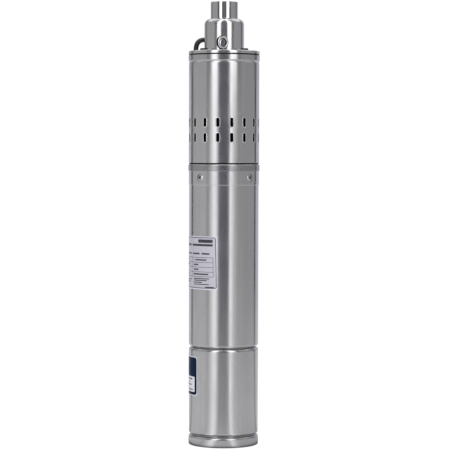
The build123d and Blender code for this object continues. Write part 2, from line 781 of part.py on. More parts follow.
def bellows_radii():
    """The radii of the bellows' sleeve and of its bulge."""
    outer = SHAFT_SEAL_D / 2 + BELLOWS_WALL
    return outer, outer + BELLOWS_BULGE


def spring_radius():
    return bellows_radii()[1] + BELLOWS_PLAY + SEAL_SPRING_WIRE / 2


def seal_bellows():
    """The rubber sleeve on the shaft, inside the spring."""
    inner = SHAFT_SEAL_D / 2
    outer, crest = bellows_radii()
    middle = (retainer_z1 + face_z0) / 2
    rise = BELLOWS_BULGE_H / 2
    return turned([
        (inner, retainer_z1), (outer, retainer_z1), (outer, middle - rise),
        (crest, middle), (outer, middle + rise), (outer, face_z0), (inner, face_z0),
    ])


def seal_spring():
    """A coil spring between the retainer and the rotating face."""
    height = SEAL_SPRING_L - SEAL_SPRING_WIRE
    path = Helix(height / SEAL_SPRING_TURNS, height, spring_radius())
    profile = Plane(origin=path @ 0, z_dir=path % 0) * Circle((SEAL_SPRING_WIRE - FIT) / 2)
    coil = sweep(profile, path=path, is_frenet=True)
    return Pos(0, 0, retainer_z1 + SEAL_SPRING_WIRE / 2) * coil


def seal_retainer():
    outer = SEAL_CHAMBER_D / 2 - RETAINER_PLAY
    return ring(outer, SHAFT_SEAL_D / 2, retainer_z0, retainer_z1)


def cover_screw_points():
    circle = (SEAL_CHAMBER_D + SEAL_COVER_D) / 4
    return circle_of(COVER_SCREWS, circle, 45.0)


def seal_cover():
    top = ring_z1 + SEAL_COVER_T
    inner = SHAFT_SEAL_D / 2 + SEAL_SHAFT_GAP
    outer = SEAL_COVER_D / 2
    outline = [(inner, ring_z1), (outer, ring_z1), (outer, top), (inner, top)]
    cover = turned(outline, {2: SEAL_COVER_EDGE_R})
    for x, y in cover_screw_points():
        cover -= bar(COVER_SCREW_D / 2 + HOLE_PLAY, ring_z1 - 1, top + 1, x, y)
        cover -= bar(COVER_SCREW_HEAD_D / 2 + HOLE_PLAY, ring_z1 + SEAL_COVER_T / 2, top + 1, x, y)
    return cover


def cover_screws():
    seat = ring_z1 + SEAL_COVER_T / 2
    screws = []
    for x, y in cover_screw_points():
        screw = bar(COVER_SCREW_D / 2, ring_z1 - COVER_SCREW_L + 1, seat, x, y)
        screw += bar(COVER_SCREW_HEAD_D / 2, seat, seat + COVER_SCREW_HEAD_H, x, y)
        screws.append(screw - Pos(x, y, seat + COVER_SCREW_HEAD_H) * cross_recess(*COVER_SCREW_CROSS))
    return solids(*screws)


def sand_flinger():
    """A rubber disc that throws sand off the shaft above the seal."""
    z0 = drive_z0 - FLINGER_H
    z1 = z0 + FLINGER_RIM_T
    inner = SHAFT_SEAL_D / 2
    hub = inner + FLINGER_HUB_WALL
    rim = FLINGER_D / 2
    cone = FLINGER_RIM_T / 4
    return turned([
        (inner, z0 + cone), (rim, z0), (rim, z1), (hub, z1 + cone), (hub, drive_z0), (inner, drive_z0),
    ])


# Drive rod with its two pin joints


def drive_socket(shank_l):
    """A cup with its joint centre at the origin, opening towards +Z. Its shank bore is below."""
    shaft_r = SHAFT_SEAL_D / 2
    outer = DRIVE_SOCKET_D / 2
    inner = outer - DRIVE_SOCKET_WALL
    floor_top = -SKIRT_REACH - SKIRT_GAP
    floor = floor_top - DRIVE_SOCKET_FLOOR_T
    bottom = floor - shank_l
    post_r = SKIRT_D / 2 - SKIRT_WALL - POST_PLAY
    post_top = -JOINT_BALL_D * POST_SEAT_SHARE
    outline = [
        (shaft_r, bottom), (outer, bottom), (outer, SKIRT_REACH), (inner, SKIRT_REACH),
        (inner, floor_top), (post_r, floor_top), (post_r, post_top), (0, post_top),
        (0, floor), (shaft_r, floor),
    ]
    cup = turned(outline, {1: EDGE_R, 2: EDGE_R, 4: EDGE_R})
    cup -= Sphere(JOINT_BALL_D / 2)
    return cup - Rot(0, 90, 0) * Cylinder(DRIVE_PIN_D / 2, 3 * outer)


def half_pins():
    """Two short pins that reach in from the socket's wall, on X, with the joint centre at the origin."""
    outer = DRIVE_SOCKET_D / 2
    inner = JOINT_BALL_D / 2 + DRIVE_PIN_GAP
    pin = Pos(inner, 0, 0) * Rot(0, 90, 0) * Cylinder(DRIVE_PIN_D / 2, outer - inner, align=BASE)
    return [pin, Rot(0, 0, 180) * pin]


def lower_joint():
    return Pos(0, 0, joint_low_z)


def upper_joint():
    return Pos(ECCENTRICITY, 0, joint_high_z) * Rot(180, 0, 0)


def lower_drive_socket():
    return lower_joint() * drive_socket(LOWER_SHANK_L)


def lower_drive_pins():
    return solids(*[lower_joint() * pin for pin in half_pins()])


def upper_drive_socket():
    return upper_joint() * drive_socket(UPPER_SHANK_L)


def upper_drive_pins():
    return solids(*[upper_joint() * pin for pin in half_pins()])


def rod_head():
    """The slotted skirt of the rod, with its joint centre at the origin and the rod towards +Z."""
    outer = SKIRT_D / 2
    inner = outer - SKIRT_WALL
    shoulder = JOINT_BALL_D / 2 + ROD_SHOULDER
    outline = [
        (inner, -SKIRT_REACH), (outer, -SKIRT_REACH), (outer, shoulder),
        (DRIVE_ROD_D / 2, shoulder + ROD_TAPER), (0, shoulder + ROD_TAPER), (0, 0), (inner, 0),
    ]
    head = turned(outline, {1: EDGE_R / 2, 2: EDGE_R}) - Sphere(JOINT_BALL_D / 2 + FIT)
    slot_w = DRIVE_PIN_D + 2 * DRIVE_PIN_PLAY
    rise = outer * ECCENTRICITY / JOINT_DISTANCE + DRIVE_PIN_PLAY / 2
    slot = Rot(0, 90, 0) * Cylinder(slot_w / 2, 3 * outer)
    mouth = SKIRT_REACH + SKIRT_GAP + rise
    slot += Box(3 * outer, slot_w, mouth, align=(Align.CENTER, Align.CENTER, Align.MAX))
    return head - Pos(0, 0, rise) * slot


def drive_rod():
    tilt = degrees(atan(ECCENTRICITY / JOINT_DISTANCE))
    length = hypot(ECCENTRICITY, JOINT_DISTANCE)
    neck = JOINT_BALL_D / 2 + ROD_SHOULDER
    rod = rod_head() + Pos(0, 0, length) * Rot(180, 0, 0) * rod_head()
    rod += bar(DRIVE_ROD_D / 2, neck, length - neck)
    return Pos(0, 0, joint_low_z) * Rot(0, tilt, 0) * rod


def joint_balls():
    ball = Sphere(JOINT_BALL_D / 2 - FIT / 2)
    return solids(Pos(0, 0, joint_low_z) * ball, Pos(ECCENTRICITY, 0, joint_high_z) * ball)


# Screw and stator


def section_steps(length, lead):
    return max(2, ceil(SECTIONS_PER_TURN * length / lead))


def screw_rotor():
    """A round section that runs up a helix: the single-start screw."""
    low = -SCREW_OUT_LOW
    high = stator_l + SCREW_OUT_HIGH
    steps = section_steps(high - low, SCREW_PITCH)
    sections = []
    for i in range(steps + 1):
        z = low + (high - low) * i / steps
        turn = 2 * pi * z / SCREW_PITCH
        centre = (ECCENTRICITY * cos(turn), ECCENTRICITY * sin(turn), z)
        sections.append(Wire.make_circle(SCREW_D / 2, Plane(centre)))
    screw = Pos(ECCENTRICITY, 0, stator_z0) * Solid.make_loft(sections)
    shank = bar(SHAFT_SEAL_D / 2, drive_z1 - UPPER_SHANK_L, stator_z0 + low + SCREW_ROOT, ECCENTRICITY)
    return Part() + screw + shank


def stator_cavity():
    """The two-start hollow in the rubber: a slot with round ends, turning half as fast as the screw."""
    half_w = SCREW_D / 2 + SCREW_PLAY
    slot = SlotOverall(4 * ECCENTRICITY + 2 * half_w, 2 * half_w).face().outer_wire()
    steps = section_steps(stator_l, SCREW_PITCH)
    sections = []
    for i in range(steps + 1):
        z = stator_l * i / steps
        sections.append(Pos(0, 0, z) * Rot(0, 0, 180.0 * z / SCREW_PITCH) * slot)
    return Pos(0, 0, stator_z0) * Solid.make_loft(sections)


def stator_lining():
    return bar(STATOR_TUBE_D / 2 - STATOR_TUBE_WALL, stator_z0, stator_z1) - stator_cavity()


def stator_tube():
    outer = STATOR_TUBE_D / 2
    return ring(outer, outer - STATOR_TUBE_WALL, stator_z0, stator_z1)


# Strainer and suction cage


def suction_cage():
    """Four legs that hold the stator above the drive joints and let the water in between them."""
    wall_r = tie_circle - TIE_BOLT_D / 2 - CAGE_GAP
    wall_in = wall_r - CAGE_WALL
    base_r = sleeve_in - FIT - SLEEVE_REGISTER_WALL - CAGE_BASE_PLAY
    base_top = ring_z1 + CAGE_BASE_T
    plate_z0 = stator_z0 - CAGE_TOP_T
    bore = STATOR_TUBE_D / 2 + FIT
    collar_r = bore + CAGE_COLLAR_WALL
    throat = DRIVE_SOCKET_D / 2 + ECCENTRICITY + CAGE_THROAT_PLAY
    collar_z1 = stator_z0 + STATOR_SOCKET_L
    outline = [
        (wall_in, ring_z1), (base_r, ring_z1), (base_r, base_top), (wall_r, base_top),
        (wall_r, stator_z0), (collar_r, stator_z0), (collar_r, collar_z1), (bore, collar_z1),
        (bore, stator_z0), (throat, stator_z0), (throat, plate_z0), (wall_in, plate_z0),
    ]
    shoulder_r = min(CAGE_RADIUS, (wall_r - collar_r) / 2)
    cage = turned(outline, {2: EDGE_R, 3: CAGE_RADIUS, 4: shoulder_r, 6: EDGE_R, 11: CAGE_RADIUS})
    low = base_top + CAGE_WINDOW_MARGIN
    high = plate_z0 - CAGE_WINDOW_MARGIN
    window = RectangleRounded(high - low, CAGE_WINDOW_W, CAGE_WINDOW_R)
    for i in range(CAGE_WINDOWS):
        plane = facing(wall_r, 360.0 * (i + 0.5) / CAGE_WINDOWS, (low + high) / 2)
        cage -= extrude(plane * window, CAGE_WALL * 1.6, both=True)
    for x, y in tie_bolt_points():
        cage -= bar(TIE_BOLT_D / 2 + HOLE_PLAY, ring_z1 - 1, base_top + 1, x, y)
    x, y = around(cable_circle, CABLE_ANGLE)
    return cage - bar(CABLE_D / 2 + CAGE_CABLE_PLAY, ring_z1 - 1, base_top + 1, x, y)


def sleeve_gasket():
    return ring(sleeve_r - GASKET_INSET, sleeve_in - FIT / 2, ring_z1, sleeve_z0)


def strainer_slot(plane):
    """A slot through the sleeve whose outer edge is broken."""
    edge = STRAINER_SLOT_EDGE
    slot = SlotOverall(STRAINER_SLOT_L, STRAINER_SLOT_W)
    wide = SlotOverall(STRAINER_SLOT_L + 4 * edge, STRAINER_SLOT_W + 4 * edge)
    flare = loft([plane.offset(-edge) * slot, plane.offset(edge) * wide], ruled=True)
    return [extrude(plane * slot, 2 * CASING_WALL, both=True), flare]


def strainer_sleeve():
    band = sleeve_z1 - SLEEVE_BAND_L
    rise = BEAD_H / 2
    outer = casing_r + SLEEVE_BAND_STEP
    inner = outer - CASING_WALL
    outline = [
        (sleeve_in, sleeve_z0), (sleeve_r, sleeve_z0), (sleeve_r, band - rise),
        (sleeve_r - BEAD_DEPTH, band), (outer, band + rise), (outer, sleeve_z1), (inner, sleeve_z1),
        (inner, band + rise), (sleeve_in - BEAD_DEPTH, band), (sleeve_in, band - rise),
    ]
    sleeve = turned(outline, {1: SLEEVE_EDGE_R, 2: EDGE_R, 3: EDGE_R, 4: EDGE_R})
    cutters = []
    for row in (0, 1):
        z = ring_z1 + SLOT_ROW_RISE + row * SLOT_ROW_PITCH
        for i in range(STRAINER_SLOTS):
            cutters += strainer_slot(facing(sleeve_r, STRAINER_TURN + 360.0 * i / STRAINER_SLOTS, z))
    return sleeve - cutters


# Head


def tie_bolt_points():
    return circle_of(TIE_BOLTS, tie_circle, 180.0 / TIE_BOLTS)


def tie_bolts():
    """The long bolts that clamp the head, the sleeve and the cage to the motor."""
    bolts = []
    for x, y in tie_bolt_points():
        top = flange_z1 + TIE_BOLT_HEAD_H
        head = bar(TIE_BOLT_HEAD_D / 2, flange_z1, top, x, y)
        head = chamfer(head.edges().filter_by(GeomType.CIRCLE).sort_by(Axis.Z)[-1], TIE_BOLT_EDGE)
        shank = bar(TIE_BOLT_D / 2, ring_z1 - TIE_BOLT_THREAD_L, flange_z1, x, y)
        hexagon = RegularPolygon(TIE_BOLT_SOCKET / 2, 6, major_radius=False)
        socket = Pos(x, y, top - TIE_BOLT_HEAD_H / 2) * extrude(hexagon, TIE_BOLT_HEAD_H)
        bolts.append(head + shank - socket)
    return solids(*bolts)


def outlet_head():
    neck_r = NECK_D / 2
    outlet_r = OUTLET_D / 2
    bore_r = OUTLET_BORE_D / 2
    throat_r = OUTLET_THROAT_D / 2
    tube_r = STATOR_TUBE_D / 2 + FIT
    seat_r = STATOR_TUBE_D / 2 - STATOR_TUBE_WALL
    low = register_z0
    thread_z0 = outlet_z1 - OUTLET_THREAD_L
    throat_z0 = thread_z0 - OUTLET_THROAT_L
    step = neck_r - outlet_r
    mouth = OUTLET_CHAMFER
    outline = [
        (tube_r, low), (sleeve_in - FIT, low), (sleeve_in - FIT, flange_z0), (flange_r, flange_z0),
        (flange_r, flange_z1), (neck_r, flange_z1), (neck_r, neck_z1), (outlet_r, neck_z1),
        (outlet_r, outlet_z1), (bore_r + mouth, outlet_z1), (bore_r, outlet_z1 - mouth),
        (bore_r, thread_z0), (throat_r, thread_z0), (throat_r, throat_z0), (seat_r, stator_z1),
        (tube_r, stator_z1),
    ]
    rounds = {
        3: EDGE_R, 4: FLANGE_EDGE_R, 5: NECK_FOOT_R, 6: step * SHOULDER_SHARE,
        7: step * SHOULDER_FOOT_SHARE, 8: EDGE_R,
    }
    head = turned(outline, rounds)
    groove_z0 = low + HEAD_GROOVE_RISE
    head -= ring(tube_r + ORING_D, tube_r - 1, groove_z0, groove_z0 + ORING_GROOVE_W)
    for x, y in tie_bolt_points():
        head -= bar(TIE_BOLT_D / 2 + HOLE_PLAY, low - 1, flange_z1 + 1, x, y)
    for x, y in rope_eye_points():
        head -= bar(EYE_SHANK_D / 2 + FIT, low - 1, flange_z1 + 1, x, y)
    x, y = around(cable_circle, CABLE_ANGLE)
    return head - bar(GROMMET_D / 2, low - 1, flange_z1 + 1, x, y)


def head_oring():
    z = register_z0 + HEAD_GROOVE_RISE + ORING_GROOVE_W / 2
    return seal_ring(STATOR_TUBE_D / 2, STATOR_TUBE_D / 2 + FIT + ORING_D, z)


def head_gasket():
    outer = casing_r + SLEEVE_BAND_STEP - GASKET_INSET
    return ring(outer, sleeve_in - FIT / 2, sleeve_z1, flange_z0)


def rope_eye_points():
    return [around(tie_circle, EYE_OFFSET), around(tie_circle, EYE_OFFSET + 180)]


def rope_eyes():
    """Two eye bolts that the safety rope is tied to, in front of the neck and behind it."""
    ring_r = (EYE_HOLE_D + EYE_BAR_D) / 2
    centre_z = flange_z1 + ring_r + EYE_BAR_D / 2 + EYE_LIFT
    eyes = []
    for i, (x, y) in enumerate(rope_eye_points()):
        loop = Rot(0, 0, EYE_TURN + 180 * i) * Rot(90, 0, 0) * Torus(ring_r, EYE_BAR_D / 2)
        eye = Pos(x, y, centre_z) * loop
        eye += bar(EYE_COLLAR_D / 2, flange_z1, flange_z1 + EYE_COLLAR_H, x, y)
        eye += bar(EYE_SHANK_D / 2, register_z0, flange_z1, x, y)
        eyes.append(eye)
    return solids(*eyes)


# Labels


def wrapped_label(sizes, surface_r, corner=0.0):
    """A thin sheet wrapped round a casing between two heights and two angles."""
    z0, z1, start, end = sizes
    sheet = ring(surface_r + GLUE_T + LABEL_T, surface_r + GLUE_T, z0, z1)
    reach = 3 * surface_r
    corners = [(0, 0), around(reach, end), around(reach, (start + end) / 2), around(reach, start)]
    wedge = make_face(Polyline(*corners, close=True))
    sheet &= Pos(0, 0, z0 - 1) * extrude(wedge, z1 - z0 + 2)
    if corner:
        edges = [e for e in sheet.edges() if e.length < 2 * LABEL_T]
        sheet = fillet(edges, corner)
    return sheet


def rating_label():
    return wrapped_label(RATING_LABEL, casing_r)


def colour_label():
    return wrapped_label(COLOUR_LABEL, casing_r, COLOUR_LABEL_ROUND)


# Cable


def cable_grommet():
    x, y = around(cable_circle, CABLE_ANGLE)
    low = register_z0
    bush = bar(GROMMET_D / 2, low, flange_z1, x, y)
    bush += bar(GROMMET_COLLAR_D / 2, flange_z1, flange_z1 + GROMMET_COLLAR_H, x, y)
    return bush - bar(CABLE_D / 2, low - 1, flange_z1 + 2, x, y)


def cable_bung():
    x, y = around(cable_circle, CABLE_ANGLE)
    bush = bar(GROMMET_D / 2, ring_z1 - BUNG_L, ring_z1, x, y)
    return bush - bar(CABLE_D / 2, ring_z1 - BUNG_L - 1, ring_z1 + 1, x, y)


def inner_cable():
    """The cable inside the pump, straight down from the head, and its cores to the windings."""
    x, y = around(cable_circle, CABLE_ANGLE)
    sheath_z0 = web_z0 - INNER_CABLE_TAIL
    pieces = [bar(CABLE_D / 2, sheath_z0, flange_z1 + GROMMET_COLLAR_H, x, y)]
    x, y = around(cable_circle - CORE_INSET, CABLE_ANGLE)
    for i in range(CORES):
        core_x, core_y = around((CORE_D + FIT) / (2 * sin(pi / CORES)), 360.0 * i / CORES)
        pieces.append(bar(CORE_D / 2, high_turns_z1, sheath_z0, x + core_x, y + core_y))
    return solids(*pieces)


def route_radii(points):
    """The arc at each inner corner: as large as the two runs beside it allow."""
    radii = []
    for before, here, after in zip(points, points[1:], points[2:]):
        into = Vector(*here) - Vector(*before)
        out = Vector(*after) - Vector(*here)
        turn = radians(into.get_angle(out))
        radii.append(0.45 * min(into.length, out.length) / tan(turn / 2))
    return radii


def cable_tube(points, name):
    """A round tube along straight runs and tangent arcs, checked against section times length."""
    radii = route_radii(points)
    path = FilletPolyline(*points, radius=radii)
    start = Vector(*points[1]) - Vector(*points[0])
    profile = Plane(origin=points[0], z_dir=start) * Circle(CABLE_D / 2)
    tube = sweep(profile, path=path)
    expected = pi * (CABLE_D / 2) ** 2 * path.length
    print(name, "length", round(path.length, 1), "radii", [round(r, 1) for r in radii])
    print(name, "volume", round(tube.volume, 1), "section times length", round(expected, 1))
    return tube


def supply_cable():
    return cable_tube(CABLE_ROUTE, "supply_cable")


def cable_tail():
    return cable_tube(TAIL_ROUTE, "cable_tail")


def cable_coil():
    x, y = COIL_CENTRE
    outer = COIL_RADII[-1] + CABLE_D / 2
    inner = COIL_RADII[0] - CABLE_D / 2
    height = COIL_LAYERS * CABLE_D
    z0 = CABLE_ROUTE[-1][2] - CABLE_D / 2
    print("cable_coil length", round(COIL_LAYERS * 2 * pi * sum(COIL_RADII), 1))
    return Pos(x, y, 0) * ring(outer, inner, z0, z0 + height)


def cable_cores():
    """The bare ends of the three cores, spread for the splice."""
    end = Vector(*TAIL_ROUTE[-1])
    along = (end - Vector(*TAIL_ROUTE[-2])).normalized()
    along = Vector(along.X, along.Y, 0).normalized()
    side = Vector(-along.Y, along.X, 0)
    cores = []
    for i in range(CORES):
        shift = i - (CORES - 1) / 2
        start = end + along * FIT * 2 + side * (shift * CORE_D)
        tip = end + along * CORE_L + side * (shift * CORE_SPREAD)
        plane = Plane(origin=start, z_dir=tip - start)
        cores.append(Solid.make_cylinder(CORE_D / 2, (tip - start).length, plane))
    return solids(*cores)


PARTS = {
    "bottom_cap": bottom_cap,
    "filler_plug": filler_plug,
    "casing_orings": casing_orings,
    "lower_casing": lower_casing,
    "capacitor": capacitor,
    "capacitor_holder": capacitor_holder,
    "capacitor_leads": capacitor_leads,
    "lower_bearing_housing": lower_bearing_housing,
    "spring_washer": spring_washer,
    "lower_bearing_outer_ring": lambda: race(LOW_BEARING, low_bearing_z0, True),
    "lower_bearing_inner_ring": lambda: race(LOW_BEARING, low_bearing_z0, False),
    "lower_bearing_balls": lambda: ball_set(LOW_BEARING, low_bearing_z0),
    "motor_casing": motor_casing,
    "stator_core": stator_core,
    "stator_windings": stator_windings,
    "thermal_protector": thermal_protector,
    "rotor_core": rotor_core,
    "rotor_cage": rotor_cage,
    "motor_shaft": motor_shaft,
    "upper_bearing_housing": upper_bearing_housing,
    "upper_bearing_outer_ring": lambda: race(HIGH_BEARING, high_bearing_z0, True),
    "upper_bearing_inner_ring": lambda: race(HIGH_BEARING, high_bearing_z0, False),
    "upper_bearing_balls": lambda: ball_set(HIGH_BEARING, high_bearing_z0),
    "casing_screws": casing_screws,
    "seal_seat": seal_seat,
    "seal_seat_cup": seal_seat_cup,
    "seal_face_ring": seal_face_ring,
    "seal_bellows": seal_bellows,
    "seal_spring": seal_spring,
    "seal_retainer": seal_retainer,
    "seal_cover": seal_cover,
    "cover_screws": cover_screws,
    "sand_flinger": sand_flinger,
    "lower_drive_socket": lower_drive_socket,
    "lower_drive_pins": lower_drive_pins,
    "joint_balls": joint_balls,
    "drive_rod": drive_rod,
    "upper_drive_socket": upper_drive_socket,
    "upper_drive_pins": upper_drive_pins,
    "screw_rotor": screw_rotor,
    "stator_tube": stator_tube,
    "stator_lining": stator_lining,
    "suction_cage": suction_cage,
    "sleeve_gasket": sleeve_gasket,
    "strainer_sleeve": strainer_sleeve,
    "tie_bolts": tie_bolts,
    "outlet_head": outlet_head,
    "head_oring": head_oring,
    "head_gasket": head_gasket,
    "rope_eyes": rope_eyes,
    "rating_label": rating_label,
    "colour_label": colour_label,
    "cable_grommet": cable_grommet,
    "cable_bung": cable_bung,
    "inner_cable": inner_cable,
    "supply_cable": supply_cable,
    "cable_coil": cable_coil,
    "cable_tail": cable_tail,
    "cable_cores": cable_cores,
}


def main():
    os.makedirs("parts", exist_ok=True)
    for node, build in PARTS.items():
        export_step(build(), f"parts/{node}.step")
    print("head at", round(flange_z1, 2), "overall height", round(outlet_z1, 2))


main()
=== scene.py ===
from math import copysign, cos, pi, radians, sin

import bpy
from mathutils import Matrix, Vector


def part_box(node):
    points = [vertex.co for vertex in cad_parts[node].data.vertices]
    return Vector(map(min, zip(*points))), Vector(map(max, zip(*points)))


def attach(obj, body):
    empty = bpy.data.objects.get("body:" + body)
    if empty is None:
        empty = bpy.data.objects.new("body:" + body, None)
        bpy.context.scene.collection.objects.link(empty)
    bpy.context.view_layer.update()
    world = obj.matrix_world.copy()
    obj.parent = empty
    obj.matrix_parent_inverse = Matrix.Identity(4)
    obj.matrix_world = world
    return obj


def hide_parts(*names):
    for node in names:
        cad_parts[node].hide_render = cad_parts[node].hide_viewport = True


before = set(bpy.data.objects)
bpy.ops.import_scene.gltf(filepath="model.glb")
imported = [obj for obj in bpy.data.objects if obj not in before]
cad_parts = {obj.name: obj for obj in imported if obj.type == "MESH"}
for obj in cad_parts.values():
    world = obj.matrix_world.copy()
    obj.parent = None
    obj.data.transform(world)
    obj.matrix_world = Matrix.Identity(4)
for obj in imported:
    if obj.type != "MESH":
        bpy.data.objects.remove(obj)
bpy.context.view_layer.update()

bl_info = {
    "name": "Borehole pump finishes",
    "version": (1, 0, 0),
    "blender": (4, 5, 0),
    "location": "3D View > Sidebar > Pump",
    "description": "Finishes, labels, thread, supply cable and studio of the borehole pump",
    "category": "Object",
}

MM = 0.001
ROOT = "pump_body"

# The sleeve's slots, in millimetres, how far the painted highlight on their raised rim and the painted
# shade on their walls reach from the outline, and the degrees between them and to the first
SLOT_SIZE, SLOT_ROWS, SLOT_RADIUS = (3.7, 11.2), (398.55, 417.95), 45.0
SLOT_RIM_HIGHLIGHT, SLOT_WALL_SHADE = (1.4, 0.7), (0.35, 0.2)
SLOT_PITCH, SLOT_TURN = 22.5, 12.55

# The seams, in millimetres: where the rim of a joint begins, half of the middle of it that carries a
# painted highlight, the level of the cap's rim, how far painted shade or a painted highlight reaches
# from a seam, and the greys of both
JOINT_RIM, HIGHLIGHT_HALF_WIDTH, CAP_RIM = ("Radius", 40.0, 40.5), 0.22, 13.5
SLEEVE_FOOT_SHADE, HEAD_FOOT_SHADE, RING_TOP_HIGHLIGHT = 0.7, 0.6, -0.8
JOINT_FADE, STRIP_FADE = 0.1, 0.2
SEAM_SHADE, PAINTED_HIGHLIGHT = 0.006, 0.98

# The height below which the head is polished less, in millimetres
SOFT_POLISH = (553.0, 548.0)

# The rope eyes, in metres: the radius of the ring, the thickness of its bar and the way it faces
EYE_RING, EYE_BAR, EYE_TURN = 0.0069, 0.0043, radians(35.0)

# The casing screws, in metres and degrees: their places, the ball that the dome is cut from, the steps
# from its edge down to the shank, the cross recess, the radii in millimetres of the painted shade on its
# floor, and the soft edge
SCREW_LEVEL, SCREW_RADIUS, SCREW_TURN = 0.34715, 0.0454, 0.5
SCREW_ANGLES = (-42.5, 47.5, 137.5, -132.5)
SCREW_BALL, SCREW_CUT, SCREW_SINK = 0.0080, 0.00664, 0.0073
SCREW_STEPS = ((0.0008, 1.0), (0.0, 0.56), (0.0060, 1.0))
RECESS_LONG, RECESS_WIDE, RECESS_DEEP = 0.0054, 0.0013, 0.0022
RECESS_SHADE = ("Radius", 45.05, 44.75)
SCREW_EDGE = 0.00012

# The outlet's thread, in metres: the bore that it stands in, its start below the mouth and its depth
THREAD_BORE, THREAD_START, THREAD_DEPTH = 0.01206, 0.0010, 0.0160

# The labels, in millimetres along the sheet and up from the floor. A box has its left, right, bottom,
# top and corner radius, and a bar its left, right, height and thickness
LABEL_RADIUS = 45.25
RATING_SHEET = (-104, -9.9, 205.7, 270.3, 2.2)
RATING_TABLE = (-88, -13.8, 220.2, 244.7, 0.3)
RATING_ROWS, RATING_COLUMN = (238.55, 232.4, 226.3), -49.2
RATING_SLANT, RATING_MIDDLE = 0.019, 237.75
RATING_BARS = (
    (-36, -13.8, 265.9, 4.3), (-48.5, -13.8, 260.8, 2.8), (-86, -52, 260.8, 2.8), (-48, -34, 249.7, 2),
    (-30.5, -18.5, 249.7, 2), (-86, -52, 249.7, 2), (-42, -23, 241.7, 1.7), (-46, -44, 241.7, 1),
    (-46, -36.3, 235.6, 1.8), (-46, -36, 229.5, 1.8), (-47, -20.5, 223.4, 1.8), (-86, -62, 241.7, 1.6),
    (-86, -58, 235.6, 1.6), (-86, -66, 229.5, 1.6), (-86, -60, 223.4, 1.6), (-46, -19.5, 217.6, 1.3),
    (-46, -23, 215.4, 1.3), (-46, -30.5, 212.8, 1.3), (-46, -20, 210.3, 1.1), (-86, -52, 216.3, 1.3),
    (-86, -56, 213.3, 1.3), (-25.5, -13.2, 206.5, 2),
)
NAVY_SHEET = (-117.2, -39.3, 66.8, 115.2, 3.6)
NAVY_PAPER = (-112.5, -43.6, 70.4, 90.2, 1.2)
NAVY_BARS = (
    (-108, -49, 87, 1.8), (-108, -56, 82.8, 1.2), (-108, -51, 79.6, 1.5), (-108, -60, 76.4, 1.2),
    (-108, -48, 73.4, 1.6),
)

# The cable's line, in metres: out of the flange, behind the neck, down the back and along the floor
CABLE_ROUTE = [
    (-0.03686, 0.01002, 0.5116), (-0.0367, 0.0103, 0.5158), (-0.0354, 0.0124, 0.5210),
    (-0.0328, 0.0166, 0.5244), (-0.0293, 0.0224, 0.5263), (-0.0252, 0.0291, 0.5269),
    (-0.0211, 0.0358, 0.5260), (-0.0174, 0.0419, 0.5235), (-0.0142, 0.0471, 0.5193),
    (-0.0116, 0.0514, 0.5131), (-0.0097, 0.0545, 0.5045), (-0.0092, 0.0566, 0.4925),
    (-0.0106, 0.0578, 0.4745), (-0.0136, 0.0574, 0.4460), (-0.0144, 0.0586, 0.3980),
    (-0.0106, 0.0602, 0.3280), (-0.0128, 0.0588, 0.2500), (-0.0192, 0.0604, 0.1780),
    (-0.0275, 0.0616, 0.1220), (-0.0332, 0.0626, 0.0800), (-0.0364, 0.0632, 0.0520),
    (-0.0374, 0.0633, 0.0316), (-0.0321, 0.0632, 0.0186), (-0.0221, 0.0630, 0.0086),
    (-0.0091, 0.0629, 0.00325), (0.0050, 0.0630, 0.00325),
]
COIL_CENTRE, COIL_TURNS = (0.0050, 0.1009), 5.25
COIL_RADII = (0.0379, 0.0315, 0.0251)
COIL_LEVELS, COIL_CLIMB = (0.00325, 0.00965), (2.58, 2.78)
TAIL_ROUTE = [
    (0.0429, 0.1009, 0.00965), (0.0429, 0.1170, 0.0089), (0.0419, 0.1330, 0.0054),
    (0.0386, 0.1495, 0.0034), (0.0324, 0.1650, 0.00325),
]

# The bared cores, in metres: their colours, the places along each where it bows aside and how far, how
# deep they start in the sheath, how high they lie, and their strands
CORE_COLOURS = {
    "core_brown": (0.16, 0.055, 0.02), "core_earth": (0.42, 0.45, 0.03), "core_blue": (0.02, 0.09, 0.35),
}
CORE_BOWS = ((0.25, -0.0006), (0.5, 0.0004), (0.78, 0.0006))
CORE_ROOT, CORE_LIFT, TIP_LIFT = 0.002, 0.0004, 0.0006
STRAND_RADIUS, STRAND_DROP = 0.00055, 0.0003


# Node trees


